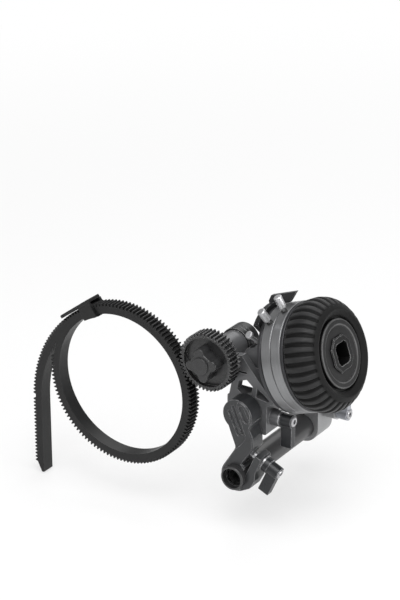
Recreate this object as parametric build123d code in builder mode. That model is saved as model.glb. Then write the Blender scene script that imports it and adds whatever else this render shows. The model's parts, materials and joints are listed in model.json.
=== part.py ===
"""Follow focus unit: a hand wheel turns a 43 tooth gear against a toothed belt round a lens barrel.

Millimetres, +Z up, +Y to the rear. The origin is the centre of the rear block's back face, on the
axis of the 15 mm rod, where the unit is bolted to its cage.
"""

import os
from math import cos, hypot, pi, radians, sin

from build123d import *

os.makedirs("parts", exist_ok=True)

# Fits
running_gap = 0.05          # radial gap of a turning or sliding fit
snug_gap = 0.02             # radial gap of a pressed or bolted fit
face_gap = 0.1              # gap between flat faces that move past each other

# Rods
rod_diameter = 15.0
rod_free_length = 84.0      # main rod ahead of the rear block
thread_wall = 2.3           # wall round the thread of the rod's front end
thread_depth = 18.0
mouth_wall = 1.2
mouth_depth = 4.0
rod_spacing = 37.0          # from the main rod up to the stub rod
stub_rod_length = 35.0
stub_seat = 6.5             # depth of the stub rod in the arm's head

# Rear block
block_wall = 2.9
block_length = 17.7
block_top_wall = 14.5       # above the rod
block_seat = 14.0           # depth of the rod in the block
block_slit = 1.5
cage_screw_spacing = 12.4
cage_screw_rise = 8.0       # cage screws above the rod's bore
cage_screw_radius = 1.65
cage_screw_depth = 5.5
rear_screw_setback = 9.0    # clamp screw behind the block's front face
rear_screw_rise = 3.5       # clamp screw above the rod's bore
rear_post_length = 8.6

# Wing levers, three alike
lever_screw_radius = 2.5
lever_wall = 1.5            # lever's hub round its screw
lever_collar_rise = 0.7     # collar beyond the hub
lever_blade_length = 17.3
lever_blade_thickness = 4.3
lever_blade_width = 7.2
lever_head_rim = 0.5        # screw head beyond its shank
lever_head_height = 2.0
lever_counterbore = 1.2
hex_socket_radius = 1.6
washer_rim = 2.5            # washer beyond the screw
washer_thickness = 0.8

# Offset arm
arm_setback = 4.0           # front face of the arm behind the rod's front end
arm_thickness = 11.5
arm_edge = 0.7              # bevel round the arm's front face
foot_wall = 2.3
head_wall = 2.3
head_offset = (0.8, 2.5)    # head centre from the stub rod axis
slit_tilt = 24.0            # clamp screw axis below +X
slit_offset = 3.2           # slit wall from the rod axis, along the clamp screw
slit_width = 2.4
jaw_thickness = 4.6
clamp_screw_gap = 8.6       # clamp screw from the rod, along the slit
arm_lever_collar = 3.4
panel_depth = 0.9           # sunk panel on the left of the arm's front face
groove_width = 2.2
wide_groove_width = 3.7
groove_depth = 0.8

# Gear housing
housing_gap = 0.5           # arm to clamp block
clamp_length = 14.5
clamp_left_wall = 5.5       # walls of the clamp block round the stub rod
clamp_right_wall = 6.5
clamp_bottom_wall = 4.1
clamp_top_wall = 1.5
clamp_mouth_gap = 1.3       # wider mouth of the clamp block's bore
clamp_mouth_edge = 0.6
web_thickness = 5.0
saddle_length = 26.0
gear_left = 18.0            # gear axis to the left of the stub rod
wheel_rise = 20.1           # gear axis above the stub rod, less the distance of the two shafts
gear_overhang = 16.0        # gear's front face ahead of the clamp block
bearing_radius = 7.5
barrel_wall = 1.0
barrel_gap = 1.0            # gear to barrel
collar_rise = 1.2           # ribbed collar beyond the barrel
collar_start = 32.5         # ribbed collar behind the gear's front face
barrel_tail = 36.5          # rear end behind the gear's front face, less the bearing's radius
small_bearing_radius = 5.5
front_bearing_width = 4.5
rear_bearing_width = 2.5
wheel_bearing_width = 4.5
barrel_cap_thickness = 1.5
block_post_length = 5.8
block_screw_rise = -2.0     # clamp screw from the stub rod axis
block_screw_setback = 7.3   # clamp screw behind the clamp block's front face

# Hand wheel, along its own tilted axis
wheel_tilt = 18.6
wheel_setback = 20.1        # wheel axis behind the clamp block's front face
bearing_lap = 1.7           # how far the two shafts' bearings reach past each other
wheel_reach = 35.0          # wheel's inner face from the point nearest to the gear axis
neck_side_wall = 3.0        # round the wheel shaft's bearings
neck_wall = 2.5             # closed end of the neck
plate_drop = 0.7            # back plate's rim below the rings
plate_thickness = 2.6
plate_gap = 0.6             # back plate to wheel
ring_radius = 32.7
ring_width = 6.3
ring_gap = 0.25
ring_wall = 6.7
band_drop = 0.5             # dark band below the rings
band_width = 1.7
grip_rise = 1.1             # grip beyond the rings
grip_length = 20.5
grip_lip_drop = 11.6        # inner edge of the grip's front rim, from its largest radius
grip_rim_width = 2.1        # crest of the front rim outside that edge
grip_ribs = 36
rib_radius = 1.45
grip_seat_drop = 2.0        # grip's seat below the rings' drum
hub_rim_wall = 4.0
disc_thickness = 4.4
disc_groove = 1.9           # groove between the disc and the grip's rim
disc_rim_width = 4.2        # raised rim of the disc
disc_recess = 1.6           # face disc behind the grip's front rim
boss_height = 0.8
boss_rim = 3.75
socket_width = 13.0
socket_corner = 2.0
socket_depth = 9.0
socket_wall = 1.7
wheel_shaft_radius = 4.0
gear_shaft_radius = 3.0
retainer_wall = 1.3
helical_width = 7.0
helical_teeth = 12
hub_rear = 0.2              # stations of the hub's rear rim and of its web
hub_web_rear = 13.0
hub_web_front = 19.0
hub_nut_wall = 2.5
hub_nut_length = 4.0

# Small screws of the back plate, the stop fin and the buckle
small_screw_radius = 1.2
small_head_radius = 2.1
small_head_height = 1.4
small_hex_radius = 0.9
countersink_radius = 2.4
countersink_depth = 0.9
buckle_screw_radius = 0.5
buckle_head_radius = 0.8
buckle_head_depth = 0.7

# Stop fin and stop pins, angles from the top of the wheel toward the front
fin_angle = -4.0
fin_height = 6.2
fin_thickness = 3.0
foot_width = 5.5            # fin's foot on the back plate
flare_gap = 3.0             # neck's flare inside the foot
pin_angles = {"inner": 32.0, "outer": 17.0}
pin_head_radius = 2.45
pin_head_length = 8.0
pin_neck_radius = 0.9
pin_neck_length = 2.7       # visible neck above the ring
pin_seat_depth = 3.2
eyelet_radius = 1.9
neck_pin_angle = 44.0
neck_pin_station = -9.6
neck_pin_shank_radius = 1.15
neck_pin_head_radius = 2.35
neck_pin_head_length = 1.8
neck_pin_collar_radius = 1.6
neck_pin_collar_length = 1.2
neck_pin_reach = 33.2       # top of the head from the wheel's axis
neck_bush_wall = 1.1
neck_bush_flange = 0.6
neck_bush_rise = 0.8        # flange above the neck's boss
neck_boss_wall = 1.1
neck_boss_top = 16.5        # from the wheel's axis

# Gearing
gear_module = 0.8
gear_teeth = 43
belt_teeth = 126
mesh_backlash = 0.1         # added to the centre distance
tooth_thinning = 0.06
gear_width = 9.5
dish_rim = 1.0              # between the dish and the teeth's roots
dish_depth = 3.2
knob_lobes = 4
knob_turn = 11.0
knob_lobe_radius = 3.2
knob_radius = 10.4
knob_reach = 5.8            # knob ahead of the gear's front face
knob_cap_radius = 5.3
knob_cap_height = 1.0

# Belt
belt_direction = 205.7      # from the gear to the belt ring's centre
belt_width = 9.0
belt_overlap = 0.5          # belt ahead of the gear's front face
belt_base = 4.4
tail_start_angle = 120.0
tail_end_angle = 172.0      # where the tail has left the ring
tail_arc_radius = 76.0
tail_arc_turn = 60.0
tail_straight_length = 50.8
tail_taper = 6.0
buckle_angle = 126.6
buckle_length = 25.5
buckle_cover_thickness = 2.0
buckle_wall = 1.8
buckle_pad_thickness = 1.4

# Worked out from the sizes above
rod_radius = rod_diameter / 2
thread_radius = rod_radius - thread_wall
mouth_radius = rod_radius - mouth_wall
block_height = rod_radius + block_top_wall
cage_screw_height = rod_radius + cage_screw_rise
rear_screw_height = rod_radius + rear_screw_rise
lever_radius = lever_screw_radius + lever_wall
lever_collar_radius = lever_radius + lever_collar_rise
lever_head_radius = lever_screw_radius + lever_head_rim
washer_radius = lever_screw_radius + washer_rim
post_radius = washer_radius
head_radius = rod_radius + head_wall
clamp_screw_rise = rod_radius + clamp_screw_gap
clamp_left = rod_radius + clamp_left_wall
clamp_right = rod_radius + clamp_right_wall
clamp_bottom = rod_radius + clamp_bottom_wall
clamp_top = rod_radius + clamp_top_wall
barrel_radius = bearing_radius + barrel_wall
collar_radius = barrel_radius + collar_rise
neck_radius = bearing_radius + neck_side_wall
barrel_end = barrel_tail + bearing_radius
shaft_distance = 2 * bearing_radius - bearing_lap
gear_rise = wheel_rise + shaft_distance

drum_radius = ring_radius - ring_wall
band_radius = ring_radius - band_drop
plate_radius = ring_radius - plate_drop
foot_inner = plate_radius - foot_width
flare_radius = foot_inner - flare_gap
grip_radius = ring_radius + grip_rise
grip_seat_radius = drum_radius - grip_seat_drop
hub_bore_radius = grip_seat_radius - hub_rim_wall
grip_lip_radius = grip_radius - grip_lip_drop
grip_rim_radius = grip_lip_radius + grip_rim_width
disc_radius = grip_lip_radius - disc_groove
boss_width = socket_width + 2 * boss_rim
socket_tube_radius = hypot(socket_width / 2, socket_width / 2 - socket_corner) + socket_wall
boss_corner = hypot(boss_width / 2, boss_width / 4)
disc_recess_radius = max(disc_radius - disc_rim_width, boss_corner + face_gap)
hub_nut_radius = wheel_shaft_radius + hub_nut_wall

front_y = -(rod_free_length + block_length)
arm_front_y = front_y + arm_setback
arm_rear_y = arm_front_y + arm_thickness
clamp_front_y = arm_rear_y + housing_gap
clamp_rear_y = clamp_front_y + clamp_length
gear_front_y = clamp_front_y - gear_overhang
gear_rear_y = gear_front_y + gear_width
wheel_y = clamp_front_y + wheel_setback
gear_x = -gear_left
gear_z = rod_spacing + gear_rise
head_x = head_offset[0]
head_z = rod_spacing + head_offset[1]

pitch_radius = gear_module * gear_teeth / 2
dish_radius = pitch_radius - 1.25 * gear_module - dish_rim
belt_pitch_radius = gear_module * belt_teeth / 2
belt_root_radius = belt_pitch_radius - 1.25 * gear_module
belt_bore_radius = belt_root_radius - belt_base
belt_tip_radius = belt_pitch_radius + gear_module
mesh_distance = pitch_radius + belt_pitch_radius + mesh_backlash
belt_x = gear_x + mesh_distance * cos(radians(belt_direction))
belt_z = gear_z + mesh_distance * sin(radians(belt_direction))
belt_front_y = gear_front_y - belt_overlap
belt_rear_y = belt_front_y + belt_width

# The wheel's frame: X along the wheel's own upward radius, Y to the front, Z outward on its axis
axis_x = cos(radians(wheel_tilt))
axis_z = sin(radians(wheel_tilt))
wheel_x = gear_x + shaft_distance * axis_z + wheel_reach * axis_x
wheel_z = gear_z - shaft_distance * axis_x + wheel_reach * axis_z
wheel_plane = Plane(origin=(wheel_x, wheel_y, wheel_z), x_dir=(-axis_z, 0, axis_x), z_dir=(axis_x, 0, axis_z))

# Stations on the wheel's axis
plate_front = -plate_gap
plate_rear = plate_front - plate_thickness
rings_start = {"inner": ring_gap / 2, "outer": ring_width + 1.5 * ring_gap}
band_start = 2 * (ring_width + ring_gap)
grip_start = band_start + band_width + 0.3
grip_end = grip_start + grip_length
disc_front = grip_end - disc_recess
disc_rear = disc_front - disc_thickness
hub_front = disc_rear - 0.05
gear_end = -wheel_reach - helical_width / 2
neck_end = gear_end - 1.0 - neck_wall
helical_radius = shaft_distance / 2 - 0.15


def across(y: float) -> Plane:
    """The XZ plane at y, seen from the front, so an extrusion from it runs forward."""
    return Plane.XZ.offset(-y)


def spoke(angle: float) -> Vector:
    """The outward direction of a wheel spoke, its angle measured from the top toward the front."""
    return wheel_plane.x_dir * cos(radians(angle)) + wheel_plane.y_dir * sin(radians(angle))


def spoke_plane(angle: float, station: float, radius: float) -> Plane:
    """A plane square to a spoke, at a station on the wheel's axis and a radius, its Z outward."""
    centre = wheel_plane.origin + wheel_plane.z_dir * station + spoke(angle) * radius
    return Plane(origin=centre, x_dir=wheel_plane.z_dir, z_dir=spoke(angle))


def tooth(root: float) -> list:
    """One tooth's outline, pointing along X, with its root at the given radius."""
    half_pitch = pi * gear_module / 4 - tooth_thinning
    slope = 0.364 * gear_module
    pitch_line = root + 1.25 * gear_module
    tip = root + 2.25 * gear_module
    flank = [(root - 0.3, half_pitch + slope), (root, half_pitch + slope), (pitch_line, half_pitch)]
    flank += [(tip, half_pitch - slope)]
    return flank + [(x, -y) for x, y in reversed(flank)]


def lever_piece(name: str, seat: Plane, collar_length: float, shank_depth: float) -> None:
    """Write a washer, a wing lever and its screw on a seat: Z out of the wall, X along the blade."""
    collar_base = washer_thickness + face_gap
    wing_base = collar_base + collar_length
    wing_top = wing_base + lever_blade_width
    head_base = wing_top - lever_counterbore
    along_blade = Axis(seat.origin, seat.x_dir)

    with BuildPart() as washer:
        with BuildSketch(seat):
            Circle(washer_radius)
            Circle(lever_screw_radius + 2 * running_gap, mode=Mode.SUBTRACT)
        extrude(amount=washer_thickness)
    washer.part.label = f"{name}_washer"
    export_step(washer.part, f"parts/{name}_washer.step")

    with BuildPart() as lever:
        with BuildSketch(seat.offset(wing_base)):
            Circle(lever_radius)
            with Locations((lever_blade_length / 2, 0)):
                Rectangle(lever_blade_length, lever_blade_thickness)
        extrude(amount=lever_blade_width)
        fillet(lever.edges().group_by(along_blade)[-1], 1.1)
        if collar_length:
            with BuildSketch(seat.offset(collar_base)):
                Circle(lever_collar_radius)
            extrude(amount=collar_length)
        with Locations(seat.offset(wing_top)):
            CounterBoreHole(
                radius=lever_screw_radius + snug_gap,
                counter_bore_radius=lever_head_radius + snug_gap,
                counter_bore_depth=lever_counterbore,
            )
    lever.part.label = name
    export_step(lever.part, f"parts/{name}.step")

    with BuildPart() as screw:
        with BuildSketch(seat.offset(-shank_depth)):
            Circle(lever_screw_radius)
        extrude(amount=shank_depth + head_base)
        with BuildSketch(seat.offset(head_base)):
            Circle(lever_head_radius)
        extrude(amount=lever_head_height)
        chamfer(screw.edges().group_by(Axis(seat.origin, seat.z_dir))[-1], 0.4)
        with BuildSketch(seat.offset(head_base + lever_head_height)):
            RegularPolygon(hex_socket_radius, 6)
        extrude(amount=-hex_socket_radius, mode=Mode.SUBTRACT)
    screw.part.label = f"{name}_screw"
    export_step(screw.part, f"parts/{name}_screw.step")


# ---------------------------------------------------------------- support: rear block, rod and lever
rear_screw_y = -block_length + rear_screw_setback
block_radius = rod_radius + block_wall
rod_rear_y = block_seat - block_length
rear_seat = Plane(
    origin=(block_radius + rear_post_length, rear_screw_y, rear_screw_height),
    x_dir=(0, 0, 1),
    z_dir=(1, 0, 0),
)
rear_shank = rear_post_length + block_radius + 4.6

with BuildPart() as rear_block:
    with BuildSketch(Plane.XZ):
        Circle(block_radius)
        with Locations((0, block_height / 2)):
            Rectangle(2 * block_radius, block_height)
    extrude(amount=block_length)
    fillet(rear_block.edges().filter_by(Axis.Y).group_by(Axis.Z)[-1], 1.5)
    with BuildSketch(Plane.YZ.offset(block_radius)):
        with Locations((rear_screw_y, rear_screw_height)):
            Circle(post_radius)
    extrude(amount=rear_post_length)
    with BuildSketch(across(-block_length)):
        Circle(rod_radius + snug_gap)
    extrude(amount=-block_seat - snug_gap, mode=Mode.SUBTRACT)
    with BuildSketch(Plane.XZ):
        with Locations((0, (rod_radius + block_height) / 2)):
            Rectangle(block_slit, block_height - rod_radius + 1)
    extrude(amount=block_length, mode=Mode.SUBTRACT)
    with Locations(rear_seat):
        Hole(lever_screw_radius + running_gap, rear_shank + face_gap)
    with Locations(Plane(origin=(0, 0, cage_screw_height), x_dir=(1, 0, 0), z_dir=(0, 1, 0))):
        with GridLocations(cage_screw_spacing, 1, 2, 1):
            Hole(cage_screw_radius, cage_screw_depth)
rear_block.part.label = "rear_block"
export_step(rear_block.part, "parts/rear_block.step")

with BuildPart() as main_rod:
    with BuildSketch(across(rod_rear_y)):
        Circle(rod_radius)
    extrude(amount=rod_rear_y - front_y)
    chamfer(main_rod.edges().group_by(Axis.Y)[0], 0.5)
    with Locations(Plane(origin=(0, front_y, 0), z_dir=(0, -1, 0))):
        CounterBoreHole(
            radius=thread_radius,
            counter_bore_radius=mouth_radius,
            counter_bore_depth=mouth_depth,
            depth=thread_depth,
        )
main_rod.part.label = "main_rod"
export_step(main_rod.part, "parts/main_rod.step")

lever_piece("rear_lever", rear_seat, 0, rear_shank)

# ---------------------------------------------------------------- offset arm
foot_radius = rod_radius + foot_wall
waist_z = rod_spacing / 2
slit_turn = radians(slit_tilt)
jaw_inner = slit_offset + slit_width
jaw_outer = jaw_inner + jaw_thickness
jaw_tip = clamp_screw_rise + washer_radius
slit_plane = Plane(
    origin=(0, arm_rear_y, 0),
    x_dir=(cos(slit_turn), 0, -sin(slit_turn)),
    z_dir=(0, -1, 0),
)
arm_screw_centre = slit_plane.from_local_coords((jaw_outer, clamp_screw_rise, arm_thickness - 7.0))
arm_seat = Plane(origin=arm_screw_centre, x_dir=-slit_plane.y_dir, z_dir=slit_plane.x_dir)
arm_shank = jaw_thickness + slit_width + 6.5
panel_grooves = [
    ((-4.5, rod_spacing + 3.6), (1.6, rod_spacing - 9.4)),
    ((-2.2, rod_spacing + 7.1), (4.3, rod_spacing - 8.2)),
]
wide_groove = ((3.7, rod_spacing + 7.7), (7.2, rod_spacing + 1.0))

with BuildPart() as offset_arm:
    with BuildSketch(across(arm_rear_y)) as arm_outline:
        with BuildLine():
            Polyline(
                (-8.9, rod_spacing + 5.0),
                (-4.0, rod_spacing - 8.5),
                (0.0, waist_z),
                (-0.82 * foot_radius, 0.58 * foot_radius),
                (0, 0),
                (5.0, 9.6),
                (12.0, waist_z + 1.5),
                (11.6, rod_spacing - 9.5),
                (9.2, rod_spacing - 4.7),
                (10.4, rod_spacing - 1.0),
                (head_x, head_z),
                close=True,
            )
        make_face()
        fillet(arm_outline.vertices().sort_by_distance((0, waist_z, 0))[0], 4)
        fillet(arm_outline.vertices().sort_by_distance((12.0, waist_z + 1.5, 0))[0], 4)
        fillet(arm_outline.vertices().sort_by_distance((9.2, rod_spacing - 4.7, 0))[0], 2)
        Circle(foot_radius)
        with Locations((head_x, head_z)):
            Circle(head_radius)
    extrude(amount=arm_thickness - arm_edge)
    extrude(offset_arm.faces().sort_by(Axis.Y)[0], amount=arm_edge, taper=45)
    with BuildSketch(slit_plane):
        with BuildLine():
            Polyline(
                (jaw_inner, 0),
                (jaw_inner, jaw_tip),
                (jaw_outer - 1.0, jaw_tip),
                (jaw_outer, jaw_tip - 1.0),
                (jaw_outer, 11.0),
                (foot_radius + 2.2, 5.7),
                (foot_radius + 1.7, -0.9),
                (0.72 * foot_radius, -0.68 * foot_radius),
                close=True,
            )
        make_face()
    extrude(amount=arm_thickness)
    with BuildSketch(slit_plane):
        with Locations(((slit_offset + jaw_inner) / 2, (jaw_tip + 4) / 2)):
            Rectangle(slit_width, jaw_tip + 4)
        Circle(rod_radius + running_gap)
    extrude(amount=arm_thickness, mode=Mode.SUBTRACT)
    with BuildSketch(across(arm_rear_y)):
        with Locations((0, rod_spacing)):
            Circle(rod_radius + snug_gap)
    extrude(amount=stub_seat + snug_gap, mode=Mode.SUBTRACT)
    with BuildSketch(across(arm_front_y + panel_depth)):
        with BuildLine():
            Polyline(
                (-20.0, waist_z - 0.4),
                (-20.0, rod_spacing + 13.5),
                (1.9, rod_spacing + 13.5),
                (0.5, rod_spacing + 8.0),
                (3.9, rod_spacing - 0.9),
                (6.7, rod_spacing - 8.3),
                (6.7, rod_spacing - 11.1),
                (4.0, waist_z + 3.4),
                (0.7, waist_z - 0.4),
                close=True,
            )
        make_face()
    extrude(amount=panel_depth, mode=Mode.SUBTRACT)
    with BuildSketch(across(arm_front_y + panel_depth + groove_depth)):
        for start, end in panel_grooves:
            SlotCenterPoint((Vector(start) + Vector(end)) / 2, end, groove_width)
    extrude(amount=groove_depth, mode=Mode.SUBTRACT)
    with BuildSketch(across(arm_front_y + groove_depth)):
        start, end = wide_groove
        SlotCenterPoint((Vector(start) + Vector(end)) / 2, end, wide_groove_width)
    extrude(amount=groove_depth, mode=Mode.SUBTRACT)
    with Locations(arm_seat):
        Hole(lever_screw_radius + running_gap, arm_shank + face_gap)
offset_arm.part.label = "offset_arm"
export_step(offset_arm.part, "parts/offset_arm.step")

stub_front_y = arm_rear_y - stub_seat
with BuildPart() as short_rod:
    with BuildSketch(across(stub_front_y + stub_rod_length)):
        with Locations((0, rod_spacing)):
            Circle(rod_radius)
    extrude(amount=stub_rod_length)
    chamfer(short_rod.edges().group_by(Axis.Y)[-1], 0.8)
short_rod.part.label = "short_rod"
export_step(short_rod.part, "parts/short_rod.step")

lever_piece("arm_lever", arm_seat, arm_lever_collar, arm_shank)

# ---------------------------------------------------------------- gear housing
clamp_low = rod_spacing - clamp_bottom
clamp_high = rod_spacing + clamp_top
block_screw_z = rod_spacing + block_screw_rise
block_seat_plane = Plane(
    origin=(clamp_right + block_post_length, clamp_front_y + block_screw_setback, block_screw_z),
    x_dir=(0, 0, -1),
    z_dir=(1, 0, 0),
)
pad_face_x = rod_radius + face_gap
pad_length = 1.8
block_shank = block_post_length + clamp_right - pad_face_x - pad_length - running_gap
barrel_front_y = gear_rear_y + barrel_gap
barrel_rear_y = gear_front_y + barrel_end
gear_bore_radius = bearing_radius + snug_gap
neck_bush_radius = neck_pin_shank_radius + neck_bush_wall
window_z = rod_spacing + 15.4
wheel_axis = Axis(wheel_plane.origin, wheel_plane.z_dir)
wheel_profile = Plane(origin=wheel_plane.origin, x_dir=wheel_plane.z_dir, z_dir=wheel_plane.y_dir)

with BuildPart() as gear_housing:
    # clamp block with the post of its lever
    with BuildSketch(across(clamp_rear_y)):
        with Locations(((clamp_right - clamp_left) / 2, (clamp_low + clamp_high) / 2)):
            RectangleRounded(clamp_right + clamp_left, clamp_high - clamp_low, 1.2)
    extrude(amount=clamp_length)
    with BuildSketch(Plane(block_seat_plane.origin - (block_post_length, 0, 0), z_dir=(1, 0, 0))):
        Circle(post_radius)
    extrude(amount=block_post_length)
    # web between the clamp block, the barrel and the neck
    with BuildSketch(across(clamp_front_y + web_thickness)):
        with BuildLine():
            Polyline(
                (-clamp_left, rod_spacing + 3.0),
                (-clamp_left + 2.4, rod_spacing + 15.0),
                (-clamp_left + 3.5, rod_spacing + 21.0),
                (gear_x + 3, gear_z),
                (gear_x + 14.6, gear_z + 2.0),
                (gear_x + 20.0, rod_spacing + 29.0),
                (clamp_right + 5.0, rod_spacing + 10.0),
                (clamp_right, rod_spacing + 7.0),
                close=True,
            )
        make_face()
    extrude(amount=web_thickness)
    # saddle under the neck
    with BuildSketch(across(clamp_front_y + saddle_length)):
        with BuildLine():
            Polyline(
                (-9.0, rod_spacing + 20.5),
                (gear_x + 3, gear_z - 3.0),
                (-8.0, gear_z - 7.4),
                (5.0, rod_spacing + 24.5),
                (8.5, rod_spacing + 20.5),
                close=True,
            )
        make_face()
    extrude(amount=saddle_length)
    # barrel with its ribbed collar
    with BuildSketch(across(barrel_rear_y)):
        with Locations((gear_x, gear_z)):
            Circle(barrel_radius)
    extrude(amount=barrel_rear_y - barrel_front_y)
    with BuildSketch(across(barrel_rear_y)):
        with Locations((gear_x, gear_z)):
            Circle(collar_radius)
    extrude(amount=barrel_end - collar_start)
    # neck round the wheel's axis, flared toward the back plate
    with BuildSketch(wheel_profile):
        with BuildLine():
            Polyline(
                (neck_end, 0),
                (neck_end, neck_radius - 1.0),
                (neck_end + 1.0, neck_radius),
                (-15.0, neck_radius),
                (-8.0, neck_radius + 2.5),
                (-4.8, flare_radius - 4.0),
                (plate_rear, flare_radius),
                (plate_rear, 0),
                close=True,
            )
        make_face()
    revolve(axis=wheel_axis)
    # boss of the neck pin
    with BuildSketch(spoke_plane(neck_pin_angle, neck_pin_station, gear_bore_radius)):
        Circle(neck_bush_radius + neck_boss_wall)
    extrude(amount=neck_boss_top - gear_bore_radius)
    # bores: stub rod, gear shaft, wheel shaft and lever screw
    with BuildSketch(across(clamp_rear_y)):
        with Locations((0, rod_spacing)):
            Circle(rod_radius + running_gap)
    extrude(amount=clamp_length, mode=Mode.SUBTRACT)
    with BuildSketch(across(clamp_front_y + 1.0)):
        with Locations((0, rod_spacing)):
            Circle(rod_radius + clamp_mouth_gap)
    extrude(amount=1.0, mode=Mode.SUBTRACT)
    with BuildSketch(across(clamp_front_y + clamp_mouth_edge)):
        with Locations((0, rod_spacing)):
            Circle(rod_radius + clamp_mouth_gap)
    extrude(amount=clamp_mouth_edge, taper=-45, mode=Mode.SUBTRACT)
    with BuildSketch(across(barrel_rear_y)):
        with Locations((gear_x, gear_z)):
            Circle(gear_bore_radius)
    extrude(amount=barrel_end - collar_start + 4.5, mode=Mode.SUBTRACT)
    with BuildSketch(across(barrel_rear_y)):
        with Locations((gear_x, gear_z)):
            Circle(small_bearing_radius + snug_gap)
    extrude(amount=barrel_rear_y - barrel_front_y, mode=Mode.SUBTRACT)
    with BuildSketch(wheel_plane.offset(plate_rear)):
        Circle(gear_bore_radius)
    extrude(amount=neck_end + neck_wall - plate_rear, mode=Mode.SUBTRACT)
    with Locations(block_seat_plane):
        Hole(lever_screw_radius + running_gap, block_post_length + clamp_right - rod_radius + 1)
    # windows in the web
    with BuildSketch(across(clamp_front_y + web_thickness)):
        with Locations((-0.9, window_z)):
            RegularPolygon(5.6, 6, rotation=20)
        with BuildLine():
            Polyline(
                (7.2, window_z + 2.0),
                (6.6, window_z - 4.2),
                (14.4, window_z - 5.6),
                (16.0, window_z - 4.4),
                close=True,
            )
        make_face()
    extrude(amount=web_thickness, mode=Mode.SUBTRACT)
    # adjusting slit above the first window
    with BuildSketch(across(clamp_front_y + 3.0)):
        with Locations((-2.6, window_z + 9.6)):
            Rectangle(5.7, 1.1)
    extrude(amount=3.0, mode=Mode.SUBTRACT)
    # ribs of the collar
    with BuildSketch(Plane(origin=(gear_x, 0, gear_z), x_dir=(0, 1, 0), z_dir=(1, 0, 0))):
        for rib in range(2):
            with Locations((gear_front_y + collar_start + 3.4 + 2.6 * rib, collar_radius)):
                Rectangle(0.6, 1.2)
    revolve(axis=Axis((gear_x, 0, gear_z), (0, 1, 0)), mode=Mode.SUBTRACT)
    # seat of the neck pin's bush
    with Locations(spoke_plane(neck_pin_angle, neck_pin_station, neck_boss_top)):
        Hole(neck_bush_radius + snug_gap, neck_boss_top - gear_bore_radius)
gear_housing.part.label = "gear_housing"
export_step(gear_housing.part, "parts/gear_housing.step")

lever_piece("block_lever", block_seat_plane, 0, block_shank)

with BuildPart() as rod_pad:
    with BuildSketch(Plane(origin=(pad_face_x, block_seat_plane.origin.Y, block_screw_z), z_dir=(1, 0, 0))):
        Circle(lever_screw_radius)
    extrude(amount=pad_length)
rod_pad.part.label = "rod_pad"
export_step(rod_pad.part, "parts/rod_pad.step")

with BuildPart() as barrel_cap:
    with BuildSketch(across(barrel_rear_y)):
        with Locations((gear_x, gear_z)):
            Circle(bearing_radius)
    extrude(amount=barrel_cap_thickness)
    chamfer(barrel_cap.edges().group_by(Axis.Y)[-1], 0.3)
    with BuildSketch(across(barrel_rear_y)):
        with Locations((gear_x, gear_z)):
            Rectangle(10.0, 1.4)
    extrude(amount=barrel_cap_thickness / 2, mode=Mode.SUBTRACT)
barrel_cap.part.label = "barrel_cap"
export_step(barrel_cap.part, "parts/barrel_cap.step")

# ---------------------------------------------------------------- gear shaft in the barrel
front_bearing_y = barrel_front_y + 0.5
rear_bearing_y = barrel_rear_y - barrel_cap_thickness - face_gap - rear_bearing_width
with BuildPart() as gear_shaft_bearings:
    with BuildSketch(across(front_bearing_y + front_bearing_width)):
        with Locations((gear_x, gear_z)):
            Circle(small_bearing_radius)
            Circle(gear_shaft_radius + running_gap, mode=Mode.SUBTRACT)
    extrude(amount=front_bearing_width)
    with BuildSketch(across(rear_bearing_y + rear_bearing_width)):
        with Locations((gear_x, gear_z)):
            Circle(bearing_radius)
            Circle(gear_shaft_radius + running_gap, mode=Mode.SUBTRACT)
    extrude(amount=rear_bearing_width)
gear_shaft_bearings.part.label = "gear_shaft_bearings"
export_step(gear_shaft_bearings.part, "parts/gear_shaft_bearings.step")

shaft_front_y = gear_front_y - 2.5
with BuildPart() as gear_shaft:
    with BuildSketch(across(rear_bearing_y + rear_bearing_width)):
        with Locations((gear_x, gear_z)):
            Circle(gear_shaft_radius)
    extrude(amount=rear_bearing_y + rear_bearing_width - shaft_front_y)
    chamfer(gear_shaft.edges().filter_by(GeomType.CIRCLE), 0.4)
gear_shaft.part.label = "gear_shaft"
export_step(gear_shaft.part, "parts/gear_shaft.step")

with BuildPart() as shaft_retainer:
    with BuildSketch(across(front_bearing_y + front_bearing_width + 1.2)):
        with Locations((gear_x, gear_z)):
            Circle(gear_shaft_radius + retainer_wall)
            Circle(gear_shaft_radius + snug_gap, mode=Mode.SUBTRACT)
    extrude(amount=1.0)
shaft_retainer.part.label = "shaft_retainer"
export_step(shaft_retainer.part, "parts/shaft_retainer.step")


def helical_gear(name: str, base: Plane, shaft_radius: float) -> None:
    """Write one of the two crossed gears that join the shafts, standing on its base plane."""
    with BuildPart() as gear:
        with BuildSketch(base):
            Circle(helical_radius)
        extrude(amount=helical_width)
        with BuildSketch(base):
            Circle(shaft_radius + snug_gap)
        extrude(amount=helical_width, mode=Mode.SUBTRACT)
        with Locations(base.offset(helical_width / 2)):
            with PolarLocations(helical_radius, helical_teeth):
                Box(2.4, 1.1, 2.5 * helical_width, rotation=(45, 0, 0), mode=Mode.SUBTRACT)
    gear.part.label = name
    export_step(gear.part, f"parts/{name}.step")


shaft_gear_base = Plane(origin=(gear_x, wheel_y + helical_width / 2, gear_z), z_dir=(0, -1, 0))
helical_gear("shaft_helical_gear", shaft_gear_base, gear_shaft_radius)

# ---------------------------------------------------------------- back plate and stop fin
plate_screw_circle = neck_radius + 4.5
with BuildPart() as back_plate:
    with BuildSketch(wheel_plane.offset(plate_rear)):
        Circle(plate_radius)
        Circle(gear_bore_radius, mode=Mode.SUBTRACT)
    extrude(amount=plate_thickness)
    chamfer(back_plate.edges().filter_by(GeomType.CIRCLE).sort_by(SortBy.RADIUS)[-2:], 0.5)
    with Locations(wheel_plane.offset(plate_front)):
        with PolarLocations(plate_screw_circle, 4, start_angle=45):
            CounterSinkHole(small_screw_radius + running_gap, countersink_radius)
back_plate.part.label = "back_plate"
export_step(back_plate.part, "parts/back_plate.step")

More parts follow.
